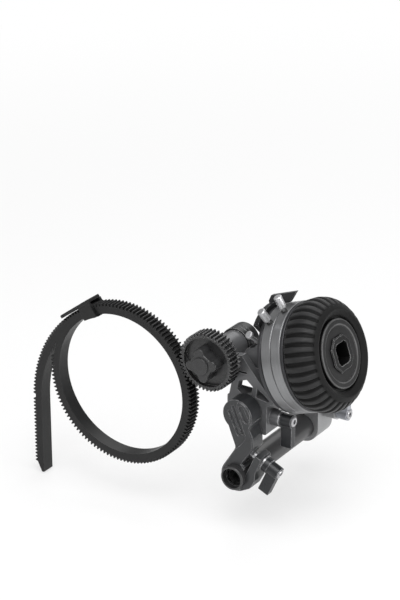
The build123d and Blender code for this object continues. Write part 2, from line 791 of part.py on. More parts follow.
with BuildPart() as back_plate_screws:
    with BuildSketch(wheel_plane.offset(plate_rear + face_gap)):
        with PolarLocations(plate_screw_circle, 4, start_angle=45):
            Circle(small_screw_radius)
    extrude(amount=plate_thickness - countersink_depth - face_gap)
    with BuildSketch(wheel_plane.offset(plate_front - countersink_depth)):
        with PolarLocations(plate_screw_circle, 4, start_angle=45):
            Circle(small_screw_radius)
    extrude(amount=countersink_depth, taper=-42)
back_plate_screws.part.label = "back_plate_screws"
export_step(back_plate_screws.part, "parts/back_plate_screws.step")

fin_base = ring_radius + 0.6
fin_top = ring_radius + fin_height
foot_rear = plate_rear - 3.4
foot_outer = fin_base + 1.2
foot_angles = (fin_angle - 8.0, fin_angle + 40.0)
fin_profile = Plane(
    origin=wheel_plane.origin,
    x_dir=wheel_plane.z_dir,
    z_dir=wheel_plane.z_dir.cross(spoke(fin_angle)),
)
outer_pin_station = rings_start["outer"] + ring_width / 2

with BuildPart() as stop_fin:
    with BuildSketch(fin_profile):
        with BuildLine():
            Polyline(
                (foot_rear, foot_inner + 1),
                (foot_rear, fin_top - 3.0),
                (foot_rear + 2.6, fin_top),
                (outer_pin_station + 3.6, fin_top + 0.4),
                (outer_pin_station - 2.6, fin_base),
                (plate_rear, fin_base),
                (plate_rear, foot_inner + 1),
                close=True,
            )
        make_face()
    extrude(amount=fin_thickness / 2, both=True)
    with BuildSketch(wheel_plane.offset(foot_rear)):
        with BuildLine():
            rim = CenterArc((0, 0), foot_outer, foot_angles[0], foot_angles[1] - foot_angles[0])
            hollow = CenterArc((0, 0), foot_inner, foot_angles[0], foot_angles[1] - foot_angles[0])
            Line(rim @ 0, hollow @ 0)
            Line(rim @ 1, hollow @ 1)
        make_face()
    extrude(amount=plate_rear - foot_rear)
    with Locations(wheel_plane.offset(foot_rear)):
        with PolarLocations(foot_inner + 2.6, 2, start_angle=fin_angle + 8, angular_range=22, endpoint=True):
            Hole(small_screw_radius + snug_gap, 2 * (plate_rear - foot_rear))
stop_fin.part.label = "stop_fin"
export_step(stop_fin.part, "parts/stop_fin.step")

with BuildPart() as stop_fin_screws:
    with BuildSketch(wheel_plane.offset(foot_rear - face_gap)):
        with PolarLocations(foot_inner + 2.6, 2, start_angle=fin_angle + 8, angular_range=22, endpoint=True):
            Circle(small_screw_radius)
    extrude(amount=plate_rear - foot_rear + face_gap / 2)
    with BuildSketch(wheel_plane.offset(foot_rear - face_gap)):
        with PolarLocations(foot_inner + 2.6, 2, start_angle=fin_angle + 8, angular_range=22, endpoint=True):
            Circle(small_head_radius)
            RegularPolygon(small_hex_radius, 6, mode=Mode.SUBTRACT)
    extrude(amount=-small_head_height)
stop_fin_screws.part.label = "stop_fin_screws"
export_step(stop_fin_screws.part, "parts/stop_fin_screws.step")

# ---------------------------------------------------------------- neck pin
bush_top = neck_boss_top + neck_bush_rise
bush_start = gear_bore_radius + 0.6
with BuildPart() as neck_pin_bush:
    with BuildSketch(spoke_plane(neck_pin_angle, neck_pin_station, bush_start)):
        Circle(neck_bush_radius)
    extrude(amount=neck_boss_top - bush_start)
    with BuildSketch(spoke_plane(neck_pin_angle, neck_pin_station, neck_boss_top)):
        Circle(neck_bush_radius + neck_bush_flange)
    extrude(amount=neck_bush_rise)
    with Locations(spoke_plane(neck_pin_angle, neck_pin_station, bush_top)):
        Hole(neck_pin_shank_radius + running_gap, bush_top - bush_start)
neck_pin_bush.part.label = "neck_pin_bush"
export_step(neck_pin_bush.part, "parts/neck_pin_bush.step")

neck_head_base = neck_pin_reach - neck_pin_head_length
with BuildPart() as neck_pin:
    with BuildSketch(spoke_plane(neck_pin_angle, neck_pin_station, bush_start)):
        Circle(neck_pin_shank_radius)
    extrude(amount=neck_head_base - bush_start)
    with BuildSketch(spoke_plane(neck_pin_angle, neck_pin_station, neck_head_base - neck_pin_collar_length)):
        Circle(neck_pin_collar_radius)
    extrude(amount=neck_pin_collar_length)
    with BuildSketch(spoke_plane(neck_pin_angle, neck_pin_station, neck_head_base)):
        Circle(neck_pin_head_radius)
    extrude(amount=neck_pin_head_length)
    chamfer(neck_pin.edges().group_by(Axis(wheel_plane.origin, spoke(neck_pin_angle)))[-1], 0.4)
neck_pin.part.label = "neck_pin"
export_step(neck_pin.part, "parts/neck_pin.step")

# ---------------------------------------------------------------- hand wheel
with BuildPart() as wheel_hub:
    with BuildSketch(wheel_profile):
        with BuildLine():
            Polyline(
                (hub_rear, drum_radius - 4),
                (hub_rear, drum_radius),
                (grip_start - 0.3, drum_radius),
                (grip_start - 0.3, grip_seat_radius),
                (hub_front, grip_seat_radius),
                (hub_front, hub_bore_radius),
                (hub_web_front, hub_bore_radius),
                (hub_web_front, wheel_shaft_radius + snug_gap),
                (hub_web_rear, wheel_shaft_radius + snug_gap),
                (hub_web_rear, drum_radius - 4),
                close=True,
            )
        make_face()
    revolve(axis=wheel_axis)
wheel_hub.part.label = "wheel_hub"
export_step(wheel_hub.part, "parts/wheel_hub.step")

with BuildPart() as wheel_shaft:
    with BuildSketch(wheel_plane.offset(gear_end - 0.5)):
        Circle(wheel_shaft_radius)
    extrude(amount=hub_web_front + hub_nut_length + 1.0 - gear_end + 0.5)
    chamfer(wheel_shaft.edges().filter_by(GeomType.CIRCLE), 0.5)
wheel_shaft.part.label = "wheel_shaft"
export_step(wheel_shaft.part, "parts/wheel_shaft.step")

with BuildPart() as hub_nut:
    with BuildSketch(wheel_plane.offset(hub_web_front + 0.05)):
        RegularPolygon(hub_nut_radius, 6)
        Circle(wheel_shaft_radius + snug_gap, mode=Mode.SUBTRACT)
    extrude(amount=hub_nut_length)
hub_nut.part.label = "hub_nut"
export_step(hub_nut.part, "parts/hub_nut.step")

helical_gear("wheel_helical_gear", wheel_plane.offset(gear_end), wheel_shaft_radius)

inner_bearing_start = gear_end + helical_width + 1.0
outer_bearing_start = plate_rear - 1.5 - wheel_bearing_width
with BuildPart() as wheel_shaft_bearings:
    for start in (inner_bearing_start, outer_bearing_start):
        with BuildSketch(wheel_plane.offset(start)):
            Circle(bearing_radius)
            Circle(wheel_shaft_radius + running_gap, mode=Mode.SUBTRACT)
        extrude(amount=wheel_bearing_width)
wheel_shaft_bearings.part.label = "wheel_shaft_bearings"
export_step(wheel_shaft_bearings.part, "parts/wheel_shaft_bearings.step")

with BuildPart() as wheel_band:
    with BuildSketch(wheel_plane.offset(band_start)):
        Circle(band_radius)
        Circle(drum_radius + snug_gap, mode=Mode.SUBTRACT)
    extrude(amount=band_width)
    chamfer(wheel_band.edges().filter_by(GeomType.CIRCLE).sort_by(SortBy.RADIUS)[-2:], 0.3)
wheel_band.part.label = "wheel_band"
export_step(wheel_band.part, "parts/wheel_band.step")

with BuildPart() as rubber_grip:
    with BuildSketch(wheel_profile):
        with BuildLine():
            Spline(
                (grip_start, grip_radius - 2.2),
                (grip_start + 3.5, grip_radius - 0.5),
                (grip_start + 8.5, grip_radius),
                (grip_start + 13.5, grip_radius - 1.3),
                (grip_end - 3.0, grip_radius - 4.3),
                (grip_end - 1.1, grip_radius - 6.7),
                (grip_end - 0.2, grip_rim_radius + 1.1),
                (grip_end, grip_rim_radius),
            )
            Polyline(
                (grip_end, grip_rim_radius),
                (grip_end - 0.3, grip_lip_radius + 1.1),
                (grip_end - 1.0, grip_lip_radius + 0.4),
                (grip_end - 2.0, grip_lip_radius),
                (disc_rear + 1.1, grip_lip_radius),
                (disc_rear + 1.1, grip_seat_radius + snug_gap),
                (grip_start, grip_seat_radius + snug_gap),
                (grip_start, grip_radius - 2.2),
            )
        make_face()
    revolve(axis=wheel_axis)
    with BuildSketch(wheel_plane.offset(grip_start)):
        with PolarLocations(grip_radius - 0.2, grip_ribs):
            Circle(rib_radius)
    extrude(amount=grip_length, mode=Mode.SUBTRACT)
rubber_grip.part.label = "rubber_grip"
export_step(rubber_grip.part, "parts/rubber_grip.step")

with BuildPart() as face_disc:
    with BuildSketch(wheel_profile):
        with BuildLine():
            Polyline(
                (disc_rear, socket_tube_radius + snug_gap),
                (disc_rear, grip_seat_radius - 0.6),
                (disc_rear + 1.0, grip_seat_radius - 0.6),
                (disc_rear + 1.0, disc_radius),
                (disc_front - 0.4, disc_radius),
                (disc_front, disc_radius - 0.6),
                (disc_front, disc_recess_radius + 1.0),
                (disc_front - 0.7, disc_recess_radius),
                (disc_front - 0.7, socket_tube_radius + snug_gap),
                close=True,
            )
        make_face()
    revolve(axis=wheel_axis)
face_disc.part.label = "face_disc"
export_step(face_disc.part, "parts/face_disc.step")

boss_front = disc_front + boss_height
with BuildPart() as socket_boss:
    with BuildSketch(wheel_plane.offset(disc_front - 0.7)) as boss_outline:
        Rectangle(boss_width, boss_width)
        chamfer(boss_outline.vertices(), boss_width / 4)
    extrude(amount=boss_height + 0.7)
    chamfer(socket_boss.faces().sort_by(wheel_axis)[-1].edges(), 0.6)
    with BuildSketch(wheel_plane.offset(disc_front - 0.7)):
        Circle(socket_tube_radius)
    extrude(amount=boss_front - socket_depth - 1.5 - disc_front + 0.7)
    with BuildSketch(wheel_plane.offset(boss_front)) as socket_outline:
        Rectangle(socket_width, socket_width)
        chamfer(socket_outline.vertices(), socket_corner)
    extrude(amount=-socket_depth, mode=Mode.SUBTRACT)
socket_boss.part.label = "socket_boss"
export_step(socket_boss.part, "parts/socket_boss.step")

# ---------------------------------------------------------------- stop rings, their pins and eyelets
pin_head_base = ring_radius + pin_neck_length
for side, start in rings_start.items():
    angle = pin_angles[side]
    station = start + ring_width / 2

    with BuildPart() as stop_ring:
        with BuildSketch(wheel_plane.offset(start)):
            Circle(ring_radius)
            Circle(drum_radius + running_gap, mode=Mode.SUBTRACT)
        extrude(amount=ring_width)
        chamfer(stop_ring.edges().filter_by(GeomType.CIRCLE).sort_by(SortBy.RADIUS)[-2:], 0.3)
        with Locations(spoke_plane(angle, station, ring_radius + 0.5)):
            Hole(pin_neck_radius + running_gap, pin_seat_depth + 0.5)
    stop_ring.part.label = f"stop_ring_{side}"
    export_step(stop_ring.part, f"parts/stop_ring_{side}.step")

    with BuildPart() as eyelet:
        with BuildSketch(spoke_plane(angle, station, ring_radius + 0.02)):
            Circle(eyelet_radius)
            Circle(pin_neck_radius + 0.1, mode=Mode.SUBTRACT)
        extrude(amount=0.9)
        fillet(eyelet.edges().group_by(Axis(wheel_plane.origin, spoke(angle)))[-1], 0.3)
    eyelet.part.label = f"stop_pin_{side}_eyelet"
    export_step(eyelet.part, f"parts/stop_pin_{side}_eyelet.step")

    with BuildPart() as stop_pin:
        with BuildSketch(spoke_plane(angle, station, ring_radius - pin_seat_depth + 0.1)):
            Circle(pin_neck_radius)
        extrude(amount=pin_seat_depth + pin_neck_length)
        with BuildSketch(spoke_plane(angle, station, pin_head_base)):
            Circle(pin_head_radius)
        extrude(amount=pin_head_length)
        chamfer(stop_pin.edges().filter_by(GeomType.CIRCLE).sort_by(SortBy.RADIUS)[-2:], 0.5)
    stop_pin.part.label = f"stop_pin_{side}"
    export_step(stop_pin.part, f"parts/stop_pin_{side}.step")

# ---------------------------------------------------------------- drive gear and its knob
with BuildPart() as drive_gear:
    with BuildSketch(across(gear_rear_y)):
        with Locations((gear_x, gear_z)):
            Circle(pitch_radius - 1.25 * gear_module)
            with PolarLocations(0, gear_teeth, start_angle=belt_direction):
                Polygon(*tooth(pitch_radius - 1.25 * gear_module), align=None)
    extrude(amount=gear_width)
    with BuildSketch(across(gear_front_y)):
        with Locations((gear_x, gear_z)):
            Circle(dish_radius)
    extrude(amount=-dish_depth, mode=Mode.SUBTRACT)
    with BuildSketch(across(gear_rear_y)):
        with Locations((gear_x, gear_z)):
            Circle(gear_shaft_radius + snug_gap)
    extrude(amount=gear_width, mode=Mode.SUBTRACT)
drive_gear.part.label = "drive_gear"
export_step(drive_gear.part, "parts/drive_gear.step")

knob_front_y = gear_front_y - knob_reach
knob_base_y = gear_front_y + dish_depth - face_gap
lobe_circle = knob_radius - knob_lobe_radius
with BuildPart() as gear_knob:
    with BuildSketch(across(knob_base_y)) as knob_outline:
        with Locations((gear_x, gear_z)):
            Circle(lobe_circle)
            with PolarLocations(lobe_circle, knob_lobes, start_angle=knob_turn):
                Circle(knob_lobe_radius)
        fillet(knob_outline.vertices(), 1.6)
    extrude(amount=knob_base_y - knob_front_y)
    fillet(gear_knob.faces().sort_by(Axis.Y)[0].edges(), 0.8)
    with BuildSketch(across(knob_base_y)):
        with Locations((gear_x, gear_z)):
            Circle(gear_shaft_radius + running_gap)
    extrude(amount=knob_base_y - shaft_front_y + 0.3, mode=Mode.SUBTRACT)
gear_knob.part.label = "gear_knob"
export_step(gear_knob.part, "parts/gear_knob.step")

with BuildPart() as gear_knob_cap:
    with BuildSketch(across(knob_front_y)):
        with Locations((gear_x, gear_z)):
            Circle(knob_cap_radius)
    extrude(amount=knob_cap_height)
    fillet(gear_knob_cap.edges().group_by(Axis.Y)[0], 0.4)
gear_knob_cap.part.label = "gear_knob_cap"
export_step(gear_knob_cap.part, "parts/gear_knob_cap.step")

# ---------------------------------------------------------------- toothed belt with its loose tail
tooth_angle = 360 / belt_teeth
gear_side = belt_direction - 180
base_radius = belt_root_radius - belt_base / 2
tail_step = tooth_angle * base_radius / tail_arc_radius
tail_pitch = radians(tooth_angle) * base_radius
tail_outer = tail_arc_radius + belt_base / 2
tail_inner = tail_arc_radius - belt_base / 2
tail_turn = radians(tail_start_angle)
tail_x = belt_x - (tail_arc_radius - base_radius) * cos(tail_turn)
tail_z = belt_z - (tail_arc_radius - base_radius) * sin(tail_turn)
tail_end_z = tail_z - tail_straight_length
tail_end_angle_arc = tail_start_angle + tail_arc_turn

ring_tooth_angles = [gear_side + (number + 0.5) * tooth_angle for number in range(belt_teeth)]
ring_tooth_places = [
    Location((belt_x, belt_z, 0), (0, 0, angle))
    for angle in ring_tooth_angles
    if not tail_start_angle < angle % 360 < tail_end_angle
]
arc_tooth_count = int(tail_arc_turn / tail_step)
straight_tooth_count = int((tail_straight_length - tail_taper) / tail_pitch)
tail_tooth_places = [
    Location((tail_x, tail_z, 0), (0, 0, tail_start_angle + (number + 0.5) * tail_step))
    for number in range(arc_tooth_count)
] + [
    Location((tail_x, tail_z - (number + 0.5) * tail_pitch, 0), (0, 0, tail_end_angle_arc))
    for number in range(straight_tooth_count)
]

with BuildPart() as gear_belt:
    with BuildSketch(across(belt_rear_y)):
        with Locations((belt_x, belt_z)):
            Circle(belt_root_radius)
        with BuildLine():
            outer_arc = CenterArc((tail_x, tail_z), tail_outer, tail_start_angle, tail_arc_turn)
            inner_arc = CenterArc((tail_x, tail_z), tail_inner, tail_start_angle, tail_arc_turn)
            Line(outer_arc @ 0, inner_arc @ 0)
            Polyline(
                outer_arc @ 1,
                (tail_x - tail_outer, tail_end_z + tail_taper),
                (tail_x - tail_inner - 1.4, tail_end_z),
                (tail_x - tail_inner, tail_end_z),
                inner_arc @ 1,
            )
        make_face()
        with Locations(*ring_tooth_places):
            Polygon(*tooth(belt_root_radius), align=None)
        with Locations(*tail_tooth_places):
            Polygon(*tooth(tail_outer), align=None)
        with Locations((belt_x, belt_z)):
            Circle(belt_bore_radius, mode=Mode.SUBTRACT)
    extrude(amount=belt_width)
gear_belt.part.label = "gear_belt"
export_step(gear_belt.part, "parts/gear_belt.step")

# ---------------------------------------------------------------- buckle
buckle_turn = radians(buckle_angle)
cover_base = belt_tip_radius + 0.5
cheek_end = -3.0
pad_radius = belt_bore_radius - 0.05


def buckle_plane(y: float) -> Plane:
    """The belt's plane at y, its X out through the buckle and its Y along the belt."""
    return Plane(
        origin=(belt_x, y, belt_z),
        x_dir=(cos(buckle_turn), 0, sin(buckle_turn)),
        z_dir=(0, -1, 0),
    )


with BuildPart() as buckle_base:
    for outer_face in (belt_rear_y + snug_gap + buckle_wall, belt_front_y - snug_gap):
        with BuildSketch(buckle_plane(outer_face)):
            with Locations(((pad_radius - 3 + cover_base) / 2, (cheek_end - buckle_length / 2) / 2)):
                Rectangle(cover_base - pad_radius + 3, buckle_length / 2 + cheek_end)
            Circle(pad_radius - buckle_pad_thickness, mode=Mode.SUBTRACT)
        extrude(amount=buckle_wall)
    with BuildSketch(buckle_plane(belt_rear_y + snug_gap)):
        with Locations((pad_radius - 2, (cheek_end - buckle_length / 2) / 2)):
            Rectangle(8, buckle_length / 2 + cheek_end)
        Circle(pad_radius, mode=Mode.INTERSECT)
        Circle(pad_radius - buckle_pad_thickness, mode=Mode.SUBTRACT)
    extrude(amount=belt_width + 2 * snug_gap)
buckle_base.part.label = "buckle_base"
export_step(buckle_base.part, "parts/buckle_base.step")

buckle_screw_spread = belt_width + 2 * snug_gap + buckle_wall
buckle_screw_step = (buckle_length / 2 + cheek_end) / 2
cover_mid_y = (belt_front_y + belt_rear_y) / 2
cover_half_width = belt_width / 2 + snug_gap + buckle_wall
cover_top = Plane(
    origin=buckle_plane(cover_mid_y).from_local_coords((cover_base + buckle_cover_thickness, 0, 0)),
    x_dir=buckle_plane(cover_mid_y).y_dir,
    z_dir=buckle_plane(cover_mid_y).x_dir,
)
screw_centre_along = (cheek_end - buckle_length / 2) / 2
with BuildPart() as buckle_cover:
    with BuildSketch(cover_top):
        Rectangle(buckle_length, 2 * cover_half_width)
    extrude(amount=-buckle_cover_thickness + 0.03)
    fillet(buckle_cover.edges().filter_by(Axis(cover_top.origin, cover_top.z_dir)), 1.0)
    chamfer(buckle_cover.faces().sort_by(Axis(cover_top.origin, cover_top.z_dir))[-1].edges(), 0.4)
    with Locations(cover_top):
        with Locations((screw_centre_along, 0)):
            with GridLocations(buckle_screw_step, buckle_screw_spread, 2, 2):
                CounterBoreHole(
                    radius=buckle_screw_radius + running_gap,
                    counter_bore_radius=buckle_head_radius + running_gap,
                    counter_bore_depth=buckle_head_depth,
                )
buckle_cover.part.label = "buckle_cover"
export_step(buckle_cover.part, "parts/buckle_cover.step")

with BuildPart() as buckle_screws:
    with BuildSketch(cover_top.offset(-buckle_cover_thickness + running_gap)):
        with Locations((screw_centre_along, 0)):
            with GridLocations(buckle_screw_step, buckle_screw_spread, 2, 2):
                Circle(buckle_screw_radius)
    extrude(amount=buckle_cover_thickness - buckle_head_depth)
    with BuildSketch(cover_top.offset(snug_gap - buckle_head_depth)):
        with Locations((screw_centre_along, 0)):
            with GridLocations(buckle_screw_step, buckle_screw_spread, 2, 2):
                Circle(buckle_head_radius)
    extrude(amount=buckle_head_depth - face_gap)
buckle_screws.part.label = "buckle_screws"
export_step(buckle_screws.part, "parts/buckle_screws.step")
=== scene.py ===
"""Follow focus unit: the finishes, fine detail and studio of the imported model.

The model's own frame has +Z up, +Y to the rear and its origin on the rear block's back face. Finishes hold
metres. Sub-assemblies and the camera's place hold millimetres, which become metres where points are made.
"""

import json
import logging
import math
from collections.abc import Callable
from dataclasses import dataclass, field
from enum import Enum

import bpy
from mathutils import Matrix, Vector


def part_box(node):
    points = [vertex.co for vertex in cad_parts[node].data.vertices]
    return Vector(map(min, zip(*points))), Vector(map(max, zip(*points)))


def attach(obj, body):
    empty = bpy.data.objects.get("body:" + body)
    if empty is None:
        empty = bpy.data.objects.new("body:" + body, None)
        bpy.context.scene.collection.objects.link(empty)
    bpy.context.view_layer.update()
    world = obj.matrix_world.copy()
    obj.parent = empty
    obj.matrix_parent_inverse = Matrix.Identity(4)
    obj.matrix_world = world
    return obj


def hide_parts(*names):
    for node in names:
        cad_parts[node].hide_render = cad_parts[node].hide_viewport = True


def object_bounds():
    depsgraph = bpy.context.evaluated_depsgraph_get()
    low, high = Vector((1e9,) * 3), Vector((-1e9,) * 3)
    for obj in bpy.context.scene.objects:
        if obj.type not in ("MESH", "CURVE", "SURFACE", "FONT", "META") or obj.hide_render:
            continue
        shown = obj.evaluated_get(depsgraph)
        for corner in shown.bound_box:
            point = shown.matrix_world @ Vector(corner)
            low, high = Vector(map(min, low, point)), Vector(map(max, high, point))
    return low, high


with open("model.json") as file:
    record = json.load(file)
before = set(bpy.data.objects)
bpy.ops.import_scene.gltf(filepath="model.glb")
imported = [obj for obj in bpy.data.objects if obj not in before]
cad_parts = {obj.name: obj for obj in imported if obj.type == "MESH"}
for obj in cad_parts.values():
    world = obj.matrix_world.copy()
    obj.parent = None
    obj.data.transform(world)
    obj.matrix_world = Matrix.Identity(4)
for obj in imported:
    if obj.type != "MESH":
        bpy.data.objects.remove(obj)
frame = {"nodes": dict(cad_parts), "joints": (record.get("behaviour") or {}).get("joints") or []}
model_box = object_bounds()
log = logging.getLogger("follow_focus")

MM = 0.001
Pair = tuple[float, float]
Triple = tuple[float, float, float]
RadiusAt = Callable[[float, float, float], float]

# The bend of the rounded surface, as 1 - cosine, between which a corner's mask rises.
CORNER_BEND = (0.02, 0.22)
CORNER_SAMPLES = 4
NOISE_MIDDLE = 0.5
# The noise between which a colour goes from its dark tone to its light one.
TONE_BAND = (0.3, 0.7)
CLOUD_LAYERS = 4.0
# Scuffs and texture: their noise's layers and roughness, and the noise between which scuffs appear.
SCUFF_NOISE = (5.0, 0.7)
SCUFF_BAND = (0.35, 0.65)
TEXTURE_NOISE = (3.0, 0.6)
# Painted shade inside a tube's bore.
BORE_SHADE_BLACK = (0.003, 0.003, 0.003)
COLLAR_BLACK = (0.012, 0.012, 0.0125)
SHADE_BLACK = (0.002, 0.002, 0.002)
# Painted shade in the grip's grooves and on its rim.
GROOVE_SHADE_BLACK = (0.0015, 0.0015, 0.0015)


class Lay(Enum):
    """The fine marks of a metal surface: their noise's layers and roughness, then height and strength."""

    BLASTED = (2.0, 0.6, 0.02 * MM, 0.35)
    TURNED = (3.0, 0.7, 0.012 * MM, 0.5)


# ---------------------------------------------------------------- shader nodes as expressions
class Sock:
    """A shader socket that takes part in arithmetic."""

    def __init__(self, graph: "Graph", socket: bpy.types.NodeSocket) -> None:
        """Hold a socket of a graph."""
        self.graph = graph
        self.socket = socket

    def math(self, operation: str, *terms: "Sock | float") -> "Sock":
        """Apply a Math operation, this socket being its first value."""
        return self.graph.number(operation, self, *terms)

    def __add__(self, other: "Sock | float") -> "Sock":
        """Add a value on the right."""
        return self.graph.number("ADD", self, other)

    def __radd__(self, other: float) -> "Sock":
        """Add a value on the left."""
        return self.graph.number("ADD", other, self)

    def __sub__(self, other: "Sock | float") -> "Sock":
        """Take a value away."""
        return self.graph.number("SUBTRACT", self, other)

    def __rsub__(self, other: float) -> "Sock":
        """Take this socket away from a value."""
        return self.graph.number("SUBTRACT", other, self)

    def __mul__(self, other: "Sock | float") -> "Sock":
        """Multiply by a value on the right."""
        return self.graph.number("MULTIPLY", self, other)

    def __rmul__(self, other: float) -> "Sock":
        """Multiply by a value on the left."""
        return self.graph.number("MULTIPLY", other, self)


class Made:
    """A made node, whose outputs are read by name or number."""

    def __init__(self, graph: "Graph", node: bpy.types.Node) -> None:
        """Hold a node of a graph."""
        self.graph = graph
        self.node = node

    def __getitem__(self, key: str | int) -> Sock:
        """Read one output."""
        return Sock(self.graph, self.node.outputs[key])


class Graph:
    """The node tree of a material or a world, built by calls and by expressions on its sockets."""

    def __init__(self, owner: bpy.types.Material | bpy.types.World) -> None:
        """Take over a node tree and empty it.

        Args:
            owner: The material or world that the tree belongs to.
        """
        owner.use_nodes = True
        self.owner = owner
        self.tree = owner.node_tree
        self.tree.nodes.clear()

    def node(self, kind: str, settings: dict | None = None, inputs: dict | None = None) -> Made:
        """Add a node of any type.

        Args:
            kind: The node's type without its ShaderNode prefix.
            settings: Its properties, which are set first.
            inputs: Values or links of its sockets, by name or number.

        Returns:
            The made node.
        """
        made = self.tree.nodes.new("ShaderNode" + kind)
        for key, value in (settings or {}).items():
            setattr(made, key, value)
        for key, value in (inputs or {}).items():
            socket = made.inputs[key]
            if isinstance(value, Sock):
                self.tree.links.new(value.socket, socket)
            elif socket.type == "RGBA":
                socket.default_value = (*value, 1.0)
            else:
                socket.default_value = value
        return Made(self, made)

    def number(self, operation: str, *terms: Sock | float) -> Sock:
        """Add one Math node with these terms and give its result."""
        return self.node("Math", {"operation": operation}, dict(enumerate(terms)))[0]

    def blend(self, mask: Sock | float, low: Sock | Triple, high: Sock | Triple) -> Sock:
        """Mix two colours by a mask."""
        return self.node("Mix", {"data_type": "RGBA"}, {0: mask, 6: low, 7: high})[2]

    def band(self, value: Sock, low: float, high: float) -> Sock:
        """Turn a value into a smooth mask that rises from 0 at low to 1 at high."""
        settings = {"interpolation_type": "SMOOTHSTEP"}
        return self.node("MapRange", settings, {"Value": value, "From Min": low, "From Max": high})[0]

    def place(self) -> Sock:
        """The point of the surface in the model's frame, in metres."""
        return self.node("TexCoord")["Object"]

    def seen(self) -> Sock:
        """A mask that is 1 where the camera looks, directly or through something clear."""
        path = self.node("LightPath")
        return path["Is Camera Ray"].math("MAXIMUM", path["Is Transmission Ray"])

    def noise(self, at: Sock, size: float, detail: float, rough: float = 0.5) -> Sock:
        """Cloudy noise from 0 to 1: clouds of a size in metres, finer layers, and the share of each."""
        inputs = {"Vector": at, "Scale": 1 / size, "Detail": detail, "Roughness": rough}
        return self.node("TexNoise", None, inputs)["Fac"]

    def lathe(self, at: Sock, centre: Triple, axis: Triple) -> tuple[Sock, Sock]:
        """Measure a point as a lathe does.

        Args:
            at: The point.
            centre: A point of the axis.
            axis: Its direction, of length one.

        Returns:
            The point's place along the axis and its distance from it, in metres.
        """
        arm = self.node("VectorMath", {"operation": "SUBTRACT"}, {0: at, 1: centre})[0]
        along = self.node("VectorMath", {"operation": "DOT_PRODUCT"}, {0: arm, 1: axis})["Value"]
        across = self.node("VectorMath", {"operation": "CROSS_PRODUCT"}, {0: arm, 1: axis})[0]
        return along, self.length(across)

    def length(self, vector: Sock) -> Sock:
        """The length of a vector."""
        return self.node("VectorMath", {"operation": "LENGTH"}, {0: vector})["Value"]

    def corners(self, radius: float) -> tuple[Sock, Sock]:
        """Soften the corners of the surface.

        Args:
            radius: The corner's radius, in metres.

        Returns:
            A mask that is 1 on the corners, and the softened normal.
        """
        soft = self.node("Bevel", {"samples": CORNER_SAMPLES}, {"Radius": radius})[0]
        true = self.node("NewGeometry")["True Normal"]
        flat = self.node("VectorMath", {"operation": "DOT_PRODUCT"}, {0: soft, 1: true})["Value"]
        return self.band(1.0 - flat, *CORNER_BEND), soft

    def raised(self, height: Sock, depth: float, strength: float, under: Sock) -> Sock:
        """Raise a pattern of a depth in metres over a normal and give the new normal."""
        inputs = {"Height": height, "Distance": depth, "Strength": strength, "Normal": under}
        return self.node("Bump", None, inputs)[0]

    def close(self, **inputs: object) -> bpy.types.Material:
        """Add the Principled surface and the output.

        Args:
            inputs: Values or links of the surface's sockets, with _ for a space.

        Returns:
            The finished material.
        """
        named = {key.replace("_", " "): value for key, value in inputs.items()}
        surface = self.node("BsdfPrincipled", None, named)
        self.node("OutputMaterial", None, {"Surface": surface[0]})
        return self.owner


# ---------------------------------------------------------------- finishes
@dataclass(frozen=True)
class Finish:
    """A finish that makes its material once."""

    name: str

    def material(self) -> bpy.types.Material:
        """The material of this finish, made at its first use."""
        name = f"{self.name}_finish"
        return bpy.data.materials.get(name) or self.make(Graph(bpy.data.materials.new(name)))

    def make(self, graph: Graph) -> bpy.types.Material:
        """Build the nodes in an empty graph and return the material."""
        raise NotImplementedError


